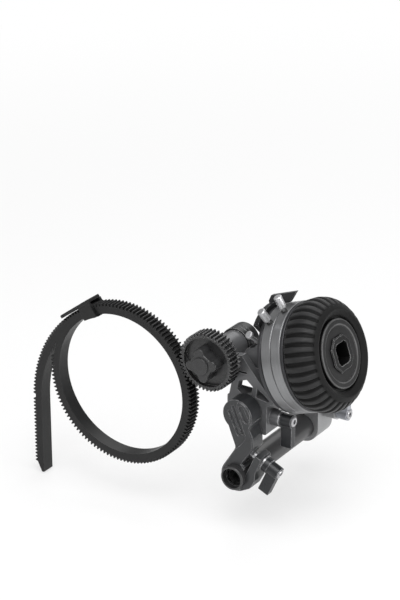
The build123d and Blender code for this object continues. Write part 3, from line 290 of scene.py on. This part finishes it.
@dataclass(frozen=True)
class Metal(Finish):
    """Machined or anodised metal: fine tool lines or blasted grain, and paler corners, partly real wear and
    partly painted highlight.

    The tool lines have line_share of the tone and the clouds have the rest. A piece given a bore radius has
    painted shade closer to its axis than that radius: nearly black and duller, standing for the shade deep
    in the bore of a tube. One with dark_behind is black past that station of its axis, out to collar_reach
    from it.
    """

    colour: Triple = (0.1, 0.1, 0.105)
    corner: Triple = (0.4, 0.4, 0.42)
    edge_wear_and_highlight: float = 0.4
    roughness: float = 0.42
    metallic: float = 0.6
    specular: float = 0.5
    corner_radius: float = 0.35 * MM
    grain: float = 0.35 * MM
    clouds: float = 14 * MM
    scuffs: float = 3 * MM
    contrast: float = 0.14
    line_share: float = 0.65
    line_rough: float = 0.16
    cloud_rough: float = 0.12
    least_edge_wear_and_highlight: float = 0.35
    lay: Lay = Lay.BLASTED
    centre: Triple = (0.0, 0.0, 0.0)
    axis: Triple = (0.0, 1.0, 0.0)
    bore_shade_radius: float = 0.0
    bore_rough: float = 0.45
    dark_behind: float | None = None
    behind_edge: float = 0.1 * MM
    collar_reach: float = 13.0 * MM
    edge: float = 0.4 * MM

    def make(self, graph: Graph) -> bpy.types.Material:
        """Build the metal's nodes.

        Args:
            graph: An empty material's graph.

        Returns:
            The finished material.
        """
        at = graph.place()
        mask, soft = graph.corners(self.corner_radius)
        along, out = graph.lathe(at, self.centre, self.axis)
        layers, share, depth, strength = self.lay.value
        marked = graph.node("CombineXYZ", None, {"X": along, "Y": out})[0] if self.lay is Lay.TURNED else at
        lines = graph.noise(marked, self.grain, layers, share)
        cloud = graph.noise(at, self.clouds, CLOUD_LAYERS)
        scuffed = graph.band(graph.noise(at, self.scuffs, *SCUFF_NOISE), *SCUFF_BAND)
        dark, light = (tuple(k * c for c in self.colour) for k in (1 - self.contrast, 1 + self.contrast))
        tone = self.line_share * lines + (1 - self.line_share) * cloud
        colour = graph.blend(graph.band(tone, *TONE_BAND), dark, light)
        rough = self.roughness + self.line_rough * (lines - NOISE_MIDDLE)
        rough = rough + self.cloud_rough * (cloud - NOISE_MIDDLE)
        metallic = self.metallic
        # Painted shade: nearly black and duller inside the bore's radius, where shade falls.
        if self.bore_shade_radius:
            outside = graph.band(out, self.bore_shade_radius - self.edge, self.bore_shade_radius)
            colour = graph.blend(outside, BORE_SHADE_BLACK, colour)
            rough = rough + self.bore_rough * (1 - outside)
            metallic = 1 - (1 - self.metallic) * outside
        if self.dark_behind is not None:
            near = 1 - graph.band(out, self.collar_reach, self.collar_reach + self.edge)
            behind = graph.band(along, self.dark_behind - self.behind_edge, self.dark_behind)
            colour = graph.blend(near * behind, colour, COLLAR_BLACK)
        # Paler corners in patches: partly real wear, partly painted highlight.
        patches = self.least_edge_wear_and_highlight + (1 - self.least_edge_wear_and_highlight) * scuffed
        worn_and_painted_light = graph.blend(mask * patches * self.edge_wear_and_highlight, colour, self.corner)
        return graph.close(
            Base_Color=worn_and_painted_light,
            Roughness=rough,
            Metallic=metallic,
            Specular_IOR_Level=self.specular,
            Normal=graph.raised(lines, depth, strength, soft),
        )


@dataclass(frozen=True)
class Moulded(Finish):
    """Moulded plastic or rubber: fine texture, painted shade and dullness in the hollows, and corners a
    little paler, partly real wear and partly painted highlight.

    A piece with shaded_below has painted shade, black, at the stations of the wheel's axis that lie below
    that one, and painted highlights in rings round that axis, each given as its (radius, half width). A
    ring's painted highlight has a least strength everywhere, and the clouds add more. A piece that names a
    mesh attribute is darker and duller where that attribute is high: painted shade in the grip's grooves
    and on its rim.
    """

    colour: Triple = (0.03, 0.03, 0.032)
    corner: Triple = (0.14, 0.14, 0.145)
    edge_wear_and_highlight: float = 0.5
    roughness: float = 0.5
    specular: float = 0.5
    sheen: float = 0.0
    sheen_roughness: float = 0.4
    corner_radius: float = 0.25 * MM
    grain: float = 0.3 * MM
    clouds: float = 9 * MM
    depth: float = 0.03 * MM
    strength: float = 0.5
    contrast: float = 1.25
    texture_share: float = 0.5
    texture_rough: float = 0.2
    cloud_rough: float = 0.15
    least_edge_wear_and_highlight: float = 0.5
    shaded_below: float | None = None
    shaded_texture: float = 1.6
    edge: float = 0.5 * MM
    rings: tuple[Pair, ...] = ()
    ring_highlight: Pair = (0.1, 0.45)
    ring_core: float = 0.3
    shade_attribute: str = ""
    hollow_rough: float = 0.25

    def make(self, graph: Graph) -> bpy.types.Material:
        """Build the moulding's nodes.

        Args:
            graph: An empty material's graph.

        Returns:
            The finished material.
        """
        at = graph.place()
        mask, soft = graph.corners(self.corner_radius)
        cloud = graph.noise(at, self.clouds, CLOUD_LAYERS)
        texture = graph.noise(at, self.grain, *TEXTURE_NOISE)
        dark, light = (tuple(k * c for c in self.colour) for k in (1 / self.contrast, self.contrast))
        tone = self.texture_share * texture + (1 - self.texture_share) * cloud
        colour = graph.blend(graph.band(tone, *TONE_BAND), dark, light)
        # Paler corners in patches: partly real wear, partly painted highlight.
        patches = self.least_edge_wear_and_highlight + (1 - self.least_edge_wear_and_highlight) * cloud
        worn_and_painted_light = graph.blend(mask * patches * self.edge_wear_and_highlight, colour, self.corner)
        if self.shaded_below is not None:
            along, out = graph.lathe(at, WHEEL_CENTRE, WHEEL_AXIS)
            least, added = self.ring_highlight
            # Painted highlights: thin bright rings round the wheel's axis, standing for lit edges of the
            # disc's rim and step.
            for radius, half in self.rings:
                ring = 1 - graph.band((out - radius).math("ABSOLUTE"), self.ring_core * half, half)
                worn_and_painted_light = graph.blend(ring * (least + added * cloud), worn_and_painted_light, self.corner)
            front = graph.band(along, self.shaded_below, self.shaded_below + self.edge)
            worn_and_painted_light = graph.blend(front, SHADE_BLACK, worn_and_painted_light)
            texture = front * texture + (1 - front) * self.shaded_texture
        rough = self.roughness + self.texture_rough * (texture - NOISE_MIDDLE)
        rough = rough + self.cloud_rough * (cloud - NOISE_MIDDLE)
        # Painted shade: darker and duller where the mesh attribute is high, in the grip's grooves and on
        # its rim.
        if self.shade_attribute:
            low = graph.node("Attribute", {"attribute_name": self.shade_attribute})["Fac"]
            worn_and_painted_light = graph.blend(low, worn_and_painted_light, GROOVE_SHADE_BLACK)
            rough = rough + self.hollow_rough * low
        return graph.close(
            Base_Color=worn_and_painted_light,
            Roughness=rough,
            Specular_IOR_Level=self.specular,
            Sheen_Weight=self.sheen,
            Sheen_Roughness=self.sheen_roughness,
            Normal=graph.raised(texture, self.depth, self.strength, soft),
        )


def joint(name: str) -> dict:
    """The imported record's joint of that name."""
    return next(entry for entry in frame["joints"] if entry["name"] == name)


WHEEL_CENTRE, WHEEL_AXIS = tuple(joint("wheel_turn")["pos_m"]), tuple(joint("wheel_turn")["axis"])
GEAR_CENTRE = tuple(joint("gear_turn")["pos_m"])

CASTING = Metal(
    "dark_casting", colour=(0.03, 0.031, 0.033), corner=(0.66, 0.66, 0.67), edge_wear_and_highlight=0.8, roughness=0.31,
    metallic=0.2, corner_radius=0.5 * MM,
)
BLOCK = Metal(
    "rear_casting", colour=(0.25, 0.251, 0.256), corner=(0.6, 0.6, 0.61), edge_wear_and_highlight=0.6, roughness=0.36,
    metallic=0.3, corner_radius=0.5 * MM,
)
# Painted light: the housing is the same dark anodised casting as the arm, given a paler colour so that its
# faces lying in shade come out as bright as lit ones.
LIT_HOUSING = Metal(
    "lit_housing_casting", colour=(0.115, 0.116, 0.12), corner=(0.64, 0.64, 0.65), edge_wear_and_highlight=0.8, roughness=0.33,
    metallic=0.25, corner_radius=0.5 * MM, centre=GEAR_CENTRE, dark_behind=32.4 * MM,
)
TUBE = Metal(
    "black_tube", colour=(0.036, 0.036, 0.037), corner=(0.4, 0.4, 0.41), edge_wear_and_highlight=0.6, roughness=0.31,
    metallic=0.2, lay=Lay.TURNED, grain=0.5 * MM, corner_radius=0.4 * MM, bore_shade_radius=6.1 * MM,
)
PLATE = Metal(
    "plate_black", colour=(0.045, 0.045, 0.048), corner=(0.22, 0.22, 0.23), edge_wear_and_highlight=0.3, roughness=0.38,
    lay=Lay.TURNED, centre=WHEEL_CENTRE, axis=WHEEL_AXIS,
)
FIN_BLACK = Metal(
    "fin_black", colour=(0.016, 0.016, 0.017), corner=(0.4, 0.4, 0.41), edge_wear_and_highlight=0.75, roughness=0.34,
    metallic=0.3,
)
RING_SILVER = Metal(
    "ring_silver", colour=(0.225, 0.227, 0.232), corner=(0.6, 0.6, 0.61), edge_wear_and_highlight=0.5, roughness=0.33,
    metallic=0.7, lay=Lay.TURNED, grain=0.28 * MM, centre=WHEEL_CENTRE, axis=WHEEL_AXIS,
    corner_radius=0.2 * MM,
)
PIN_SILVER = Metal(
    "pin_silver", colour=(0.5, 0.5, 0.51), corner=(0.8, 0.8, 0.8), edge_wear_and_highlight=0.5, roughness=0.42,
    metallic=0.8, grain=0.5 * MM,
)
STEEL = Metal(
    "screw_steel", colour=(0.42, 0.42, 0.43), corner=(0.85, 0.85, 0.85), edge_wear_and_highlight=0.6, roughness=0.3,
    metallic=0.85, grain=0.5 * MM, corner_radius=0.2 * MM,
)
SHAFT = Metal("ground_shaft", colour=(0.45, 0.45, 0.46), roughness=0.3, metallic=0.9)
BRASS = Metal("pad_brass", colour=(0.62, 0.45, 0.18), roughness=0.35, metallic=0.95)
LEVER = Metal(
    "lever_grey", colour=(0.018, 0.019, 0.021), corner=(0.75, 0.75, 0.78), edge_wear_and_highlight=0.8, roughness=0.3,
    metallic=0.12, corner_radius=0.5 * MM, specular=0.36,
)
LEVER_BLUE = Metal(
    "lever_blue_grey", colour=(0.34, 0.35, 0.38), corner=(0.75, 0.75, 0.79), edge_wear_and_highlight=0.6, roughness=0.32,
    metallic=0.7, corner_radius=0.5 * MM,
)
RUBBER = Moulded(
    "grip_rubber", colour=(0.023, 0.023, 0.0234), corner=(0.04, 0.04, 0.04), edge_wear_and_highlight=0.3, roughness=0.42,
    specular=0.16, shade_attribute="painted_shade", grain=0.22 * MM, depth=0.02 * MM, sheen=0.05,
)
# Face disc: its rings are painted highlights on its rim edges, and it has painted shade below its front
# face.
DISC = Moulded(
    "disc_satin", colour=(0.011, 0.011, 0.0113), corner=(0.2, 0.2, 0.2), edge_wear_and_highlight=1.0, roughness=0.34,
    corner_radius=0.55 * MM, specular=0.24, grain=0.25 * MM, shaded_below=32.8 * MM,
    rings=((20.1 * MM, 0.8 * MM), (16.9 * MM, 0.5 * MM)),
)
BOSS = Moulded(
    "boss_satin", colour=(0.007, 0.007, 0.0072), corner=(0.6, 0.6, 0.6), edge_wear_and_highlight=1.0, roughness=0.32,
    corner_radius=0.5 * MM, specular=0.22, grain=0.25 * MM, shaded_below=33.5 * MM,
)
GEAR_BLACK = Moulded(
    "gear_black", colour=(0.024, 0.024, 0.0246), corner=(0.5, 0.5, 0.505), edge_wear_and_highlight=0.9, roughness=0.28,
    corner_radius=0.26 * MM, specular=0.45,
)
BELT_BLACK = Moulded(
    "belt_black", colour=(0.009, 0.009, 0.0092), corner=(0.12, 0.12, 0.12), edge_wear_and_highlight=0.6, roughness=0.42,
    corner_radius=0.2 * MM, specular=0.3,
)
EYELET = Moulded("eyelet_black", colour=(0.02, 0.02, 0.02), roughness=0.45, corner_radius=0.15 * MM)


def dress(piece: bpy.types.Object, finish: Finish) -> None:
    """Give every material slot of a piece one finish.

    Args:
        piece: The piece, which gets a slot if it has none.
        finish: Its finish.
    """
    if not piece.material_slots:
        piece.data.materials.append(finish.material())
    for slot in piece.material_slots:
        slot.material = finish.material()


def new_mesh(
    name: str, points: list[Vector | Triple], faces: list[tuple[int, ...]], smooth: bool = True
) -> bpy.types.Object:
    """Make a mesh object from its points and faces.

    Args:
        name: The piece's name.
        points: Its corners, in the model's frame.
        faces: Its faces, as their corners' numbers.
        smooth: Whether it is shaded smooth.

    Returns:
        The object, linked to the scene.
    """
    mesh = bpy.data.meshes.new(name)
    mesh.from_pydata([tuple(p) for p in points], [], faces)
    mesh.update()
    mesh.polygons.foreach_set("use_smooth", [smooth] * len(mesh.polygons))
    piece = bpy.data.objects.new(name, mesh)
    bpy.context.scene.collection.objects.link(piece)
    return piece


@dataclass(frozen=True)
class Lathe:
    """The frame of a turned piece: a centre, an axis and the spoke at angle zero."""

    centre: Vector
    axis: Vector
    spoke: Vector

    def point(self, station: float, radius: float, angle: float) -> Vector:
        """A point at a station on the axis, a radius and an angle, in millimetres and radians."""
        out = self.spoke * math.cos(angle) + self.axis.cross(self.spoke) * math.sin(angle)
        return self.centre + (self.axis * station + out * radius) * MM

    def spin(self, name: str, outline: list[Pair], steps: int, radius_at: RadiusAt) -> bpy.types.Object:
        """Turn a closed outline round the axis.

        Args:
            name: The piece's name.
            outline: Its (station, radius) points, in order.
            steps: How many steps the turn has.
            radius_at: Gives the radius where it stands, from a station, the outline's radius and an angle.

        Returns:
            The turned piece.
        """
        points, faces, count = [], [], len(outline)
        for step in range(steps):
            angle = math.tau * step / steps
            for station, radius in outline:
                points.append(self.point(station, radius_at(station, radius, angle), angle))
            start, after = step * count, (step + 1) % steps * count
            for k in range(count):
                beside = (k + 1) % count
                faces.append((start + k, start + beside, after + beside, after + k))
        return new_mesh(name, points, faces)


WHEEL_LATHE = Lathe(
    Vector(WHEEL_CENTRE), Vector(WHEEL_AXIS), Vector((0, -1, 0)).cross(Vector(WHEEL_AXIS)).normalized()
)


def smoothstep(low: float, high: float, value: float) -> float:
    """Rise smoothly from 0 at low to 1 at high."""
    share = min(max((value - low) / (high - low), 0.0), 1.0)
    return share * share * (3 - 2 * share)


def curve_point(before: Vector, start: Vector, end: Vector, after: Vector, share: float) -> Vector:
    """A point between start and end on the smooth (Catmull-Rom) curve through four knots."""
    return 0.5 * (
        2 * start + (end - before) * share + (2 * before - 5 * start + 4 * end - after) * share * share
        + (3 * start - before - 3 * end + after) * share ** 3
    )


# ---------------------------------------------------------------- sub-assemblies
@dataclass
class SubAssembly:
    """A group of the model's nodes with the pieces built beside them. Its sizes are millimetres."""

    finishes: dict[str, Finish]

    def build(self) -> list[bpy.types.Object]:
        """Build the group's own pieces and return them."""
        return []

    def finish(self) -> None:
        """Dress the nodes, build the pieces and report each."""
        for node, finish in self.finishes.items():
            dress(frame["nodes"][node], finish)
            log.info("node %s takes %s", node, finish.name)
        for piece in self.build():
            log.info("piece %s has %d faces", piece.name, len(piece.data.polygons))


@dataclass
class Support(SubAssembly):
    """Rear block, main rod and rear lever, with the thread in the rod's open end."""

    finishes: dict[str, Finish] = field(default_factory=lambda: {
        "rear_block": BLOCK, "main_rod": TUBE, "rear_lever": LEVER_BLUE, "rear_lever_screw": STEEL,
        "rear_lever_washer": STEEL,
    })
    thread_radius: float = 5.19
    thread_pitch: float = 1.5
    thread_depth: float = 0.55
    thread_flank: float = 0.55
    thread_turns: int = 9
    thread_start: float = 4.2
    steps_a_turn: int = 48

    def build(self) -> list[bpy.types.Object]:
        """Build the thread as a ridge of three points' section along a helix.

        Returns:
            The thread.
        """
        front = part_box("main_rod")[0].y
        section = ((-self.thread_flank, 0.0), (0.0, -self.thread_depth), (self.thread_flank, 0.0))
        steps = self.thread_turns * self.steps_a_turn
        points, faces = [], []
        for step in range(steps + 1):
            angle = math.tau * step / self.steps_a_turn
            place = self.thread_start + self.thread_pitch * step / self.steps_a_turn
            for along, rise in section:
                radius = (self.thread_radius + rise) * MM
                y = front + (place + along) * MM
                points.append((radius * math.sin(angle), y, radius * math.cos(angle)))
        for step in range(steps):
            start, after = len(section) * step, len(section) * (step + 1)
            faces += [(start + k, start + k + 1, after + k + 1, after + k) for k in range(len(section) - 1)]
        thread = new_mesh("rod_thread", points, faces)
        dress(thread, TUBE)
        return [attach(thread, "support")]


@dataclass
class Arm(SubAssembly):
    """Offset arm, stub rod and the lever of the split clamp."""

    finishes: dict[str, Finish] = field(default_factory=lambda: {
        "offset_arm": CASTING, "short_rod": TUBE, "arm_lever": LEVER, "arm_lever_screw": STEEL,
        "arm_lever_washer": STEEL,
    })


@dataclass
class Housing(SubAssembly):
    """Clamp block, barrel and neck in one casting, with the back plate, stop fin and pull pin."""

    finishes: dict[str, Finish] = field(default_factory=lambda: {
        "gear_housing": LIT_HOUSING, "back_plate": PLATE, "back_plate_screws": STEEL, "stop_fin": FIN_BLACK,
        "stop_fin_screws": STEEL, "barrel_cap": LIT_HOUSING, "gear_shaft_bearings": SHAFT,
        "wheel_shaft_bearings": SHAFT, "neck_pin_bush": STEEL, "neck_pin": PIN_SILVER, "rod_pad": BRASS,
        "block_lever": LEVER, "block_lever_screw": STEEL, "block_lever_washer": STEEL,
    })


@dataclass
class HandWheel(SubAssembly):
    """Hub, ribbed rubber grip, face disc, socket, stop rings and stop pins.

    The grip's section is a smooth curve through the knots, which are (station, radius) points over its
    outside from the back edge on, and closes along the seat on the hub. A groove grows over the stations of
    groove_start and ends at rib_end. Across, it is full as far as the first groove_share of a rib's step
    from its middle, and gone at the second. The grooves and the rim get painted shade; the rim's grows over
    the radii of rim_fade.
    """

    finishes: dict[str, Finish] = field(default_factory=lambda: {
        "wheel_hub": PLATE, "wheel_band": PLATE, "face_disc": DISC, "socket_boss": BOSS, "hub_nut": STEEL,
        "wheel_shaft": SHAFT, "wheel_helical_gear": SHAFT, "stop_ring_inner": RING_SILVER,
        "stop_ring_outer": RING_SILVER, "stop_pin_inner": PIN_SILVER, "stop_pin_outer": PIN_SILVER,
        "stop_pin_inner_eyelet": EYELET, "stop_pin_outer_eyelet": EYELET,
    })
    ribs: int = 36
    steps_a_rib: int = 20
    groove_depth: float = 1.35
    groove_inner: float = 26.0
    groove_start: Pair = (15.2, 15.9)
    groove_share: Pair = (0.14, 0.31)
    rib_end: float = 33.9
    rib_runout: float = 0.9
    groove_shade: float = 0.9
    rim_shade: float = 0.85
    rim_fade: Pair = (29.0, 26.5)
    rim_length: float = 1.5
    knots: tuple[Pair, ...] = (
        (15.15, 31.0), (15.3, 31.9), (16.2, 32.5), (18.6, 33.3), (23.6, 33.78), (28.6, 32.5), (32.6, 29.5),
        (34.2, 27.5), (35.0, 26.3), (35.25, 25.5), (34.95, 24.85), (34.2, 24.0), (33.5, 23.1), (32.9, 22.4),
        (32.4, 22.22),
    )
    curve_step: float = 0.45
    seat: tuple[Pair, ...] = ((30.75, 22.2), (30.72, 24.02), (15.1, 24.02), (15.1, 30.8))

    def outline(self) -> list[Pair]:
        """The grip's closed section.

        Returns:
            Its (station, radius) points from the back edge on.
        """
        points, last = [], len(self.knots) - 1
        for k in range(last):
            around = [Vector(self.knots[min(max(k + d, 0), last)]) for d in (-1, 0, 1, 2)]
            pieces = max(2, round((around[2] - around[1]).length / self.curve_step))
            points += [tuple(curve_point(*around, piece / pieces)) for piece in range(pieces)]
        return [*points, self.knots[last], *self.seat]

    def groove(self, station: float, angle: float) -> float:
        """How deep a place lies in a groove between two ribs.

        Args:
            station: Place along the wheel's axis.
            angle: Angle from the top of the wheel, in radians.

        Returns:
            0 on a rib, and 1 at a groove's bottom.
        """
        away = abs((angle * self.ribs / math.tau + 0.5) % 1.0 - 0.5)
        end = smoothstep(self.rib_end - self.rib_runout, self.rib_end, station)
        ends = smoothstep(*self.groove_start, station) * (1 - end)
        return (1 - smoothstep(*self.groove_share, away)) * ends

    def ribbed(self, station: float, radius: float, angle: float) -> float:
        """The grip's radius at a place, less the groove there.

        Args:
            station: Place along the wheel's axis.
            radius: Radius of the smooth section there.
            angle: Angle from the top of the wheel, in radians.

        Returns:
            The radius with its grooves.
        """
        if radius < self.groove_inner:
            return radius
        return radius - self.groove_depth * self.groove(station, angle)

    def shade(self, station: float, radius: float, angle: float) -> float:
        """How much painted shade and dullness a place of the grip has.

        Args:
            station: Place along the wheel's axis.
            radius: Radius of the smooth section there.
            angle: Angle from the top of the wheel, in radians.

        Returns:
            0 on the ribs' crests, and up to 1 in the grooves and on the rim.
        """
        inward = smoothstep(*self.rim_fade, radius)
        forward = smoothstep(self.rib_end - self.rim_length, self.rib_end, station)
        groove = 0.0 if radius < self.groove_inner else self.groove_shade * self.groove(station, angle)
        return max(self.rim_shade * max(inward, forward), groove)

    def build(self) -> list[bpy.types.Object]:
        """Build the ribbed grip, with the painted-shade attribute that its finish reads.

        Returns:
            The grip.
        """
        outline, steps = self.outline(), self.ribs * self.steps_a_rib
        grip = WHEEL_LATHE.spin("ribbed_grip", outline, steps, self.ribbed)
        painted_shade = grip.data.attributes.new(RUBBER.shade_attribute, "FLOAT", "POINT")
        angles = [math.tau * step / steps for step in range(steps)]
        shades = [self.shade(station, radius, angle) for angle in angles for station, radius in outline]
        painted_shade.data.foreach_set("value", shades)
        dress(grip, RUBBER)
        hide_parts("rubber_grip")
        return [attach(grip, "wheel")]


@dataclass
class DriveGear(SubAssembly):
    """Drive gear with its knob and shaft."""

    finishes: dict[str, Finish] = field(default_factory=lambda: {
        "drive_gear": GEAR_BLACK, "gear_knob": GEAR_BLACK, "gear_knob_cap": GEAR_BLACK, "gear_shaft": SHAFT,
        "shaft_helical_gear": SHAFT, "shaft_retainer": STEEL,
    })


@dataclass
class LensBelt(SubAssembly):
    """Toothed belt with its loose tail and its buckle."""

    finishes: dict[str, Finish] = field(default_factory=lambda: {
        "gear_belt": BELT_BLACK, "buckle_base": BELT_BLACK, "buckle_cover": BELT_BLACK,
        "buckle_screws": STEEL,
    })


# ---------------------------------------------------------------- studio
def direction(azimuth: float, elevation: float) -> Vector:
    """The direction from the object to a viewer, from angles in degrees, azimuth 0 being the front."""
    turn, rise = math.radians(azimuth), math.radians(elevation)
    return Vector((math.sin(turn) * math.cos(rise), -math.cos(turn) * math.cos(rise), math.sin(rise)))


@dataclass(frozen=True)
class Lamp:
    """A soft square lamp that points at the object: angles in degrees, metres and watts."""

    name: str
    azimuth: float
    elevation: float
    distance: float
    size: float
    power: float

    def hang(self, target: Vector) -> None:
        """Hang the lamp round a target and turn it there.

        Args:
            target: The point that it shines on.
        """
        data = bpy.data.lights.new(self.name, "AREA")
        data.shape = "SQUARE"
        data.size = self.size
        data.energy = self.power
        lamp = bpy.data.objects.new(self.name, data)
        away = direction(self.azimuth, self.elevation)
        lamp.location = target + away * self.distance
        lamp.rotation_euler = away.to_track_quat("Z", "Y").to_euler()
        bpy.context.scene.collection.objects.link(lamp)


@dataclass
class Studio:
    """Camera, lamps, pale floor and white surroundings.

    The camera's place is aside, above and distance from the front end of the main rod, in its own
    directions. The floor's figures are metres. Its glow is what hides it in the white: weaker near the
    object, where the shadow falls, and full past the end of glow_fade.
    """

    azimuth: float = 32.9
    elevation: float = 22.8
    lens: float = 120.0
    aside: float = -18.38
    above: float = 105.05
    distance: float = 1175.0
    clip_end: float = 50.0
    floor_gap: float = 0.001
    floor_reach: float = 8.0
    floor_colour: Triple = (0.82, 0.82, 0.82)
    near_glow: float = 0.6
    glow_fade: Pair = (0.3, 1.1)
    world_light: float = 0.3
    white: Triple = (1.0, 1.0, 1.0)
    lamps: tuple[Lamp, ...] = (
        Lamp("key", 95.0, 8.0, 1.3, 0.8, 12.0),
        Lamp("top", 60.0, 72.0, 1.4, 1.0, 11.0),
        Lamp("front", 25.0, 50.0, 1.5, 0.8, 7.5),
        Lamp("fill", -20.0, 35.0, 1.5, 1.1, 4.5),
        Lamp("back", 200.0, 45.0, 1.4, 1.0, 5.5),
    )

    def camera(self) -> None:
        """Set up the camera."""
        turn = math.radians(self.azimuth)
        right = Vector((math.cos(turn), math.sin(turn), 0))
        back = direction(self.azimuth, self.elevation)
        up = back.cross(right)
        anchor = Vector((0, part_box("main_rod")[0].y, 0))
        data = bpy.data.cameras.new("camera")
        data.lens = self.lens
        data.clip_end = self.clip_end
        camera = bpy.data.objects.new("camera", data)
        spot = anchor + (right * self.aside + up * self.above + back * self.distance) * MM
        camera.matrix_world = Matrix.Translation(spot) @ Matrix((right, up, back)).transposed().to_4x4()
        bpy.context.scene.collection.objects.link(camera)
        bpy.context.scene.camera = camera

    def floor(self) -> None:
        """Lay the floor just under the model."""
        low, reach = model_box[0].z - self.floor_gap, self.floor_reach
        points = [(-reach, -reach, low), (reach, -reach, low), (reach, reach, low), (-reach, reach, low)]
        floor = new_mesh("floor", points, [(0, 1, 2, 3)], smooth=False)
        graph = Graph(bpy.data.materials.new("floor_white"))
        matt = graph.node("BsdfDiffuse", None, {"Color": self.floor_colour})[0]
        glow = graph.node("Emission", None, {"Color": self.white, "Strength": 1.0})[0]
        far = graph.band(graph.length(graph.place()), *self.glow_fade)
        share = graph.seen() * (self.near_glow + (1 - self.near_glow) * far)
        mixed = graph.node("MixShader", None, {0: share, 1: matt, 2: glow})[0]
        graph.node("OutputMaterial", None, {"Surface": mixed})
        floor.data.materials.append(graph.owner)

    def surroundings(self) -> None:
        """Make the world soft grey for the light that it gives and white where it is seen."""
        graph = Graph(bpy.data.worlds.new("studio"))
        strength = graph.node("MapRange", None, {"Value": graph.seen(), "To Min": self.world_light})[0]
        sky = graph.node("Background", None, {"Color": self.white, "Strength": strength})[0]
        graph.node("OutputWorld", None, {"Surface": sky})
        bpy.context.scene.world = graph.owner

    def build(self) -> None:
        """Set up the whole studio."""
        self.camera()
        self.floor()
        self.surroundings()
        middle = (model_box[0] + model_box[1]) / 2
        for lamp in self.lamps:
            lamp.hang(middle)
        bpy.context.scene.view_settings.view_transform = "Standard"


def main() -> None:
    """Build the studio and every sub-assembly."""
    logging.basicConfig(level=logging.INFO, format="%(name)s: %(message)s")
    Studio().build()
    for assembly in (Support(), Arm(), Housing(), HandWheel(), DriveGear(), LensBelt()):
        assembly.finish()


if __name__ == "__main__":
    main()
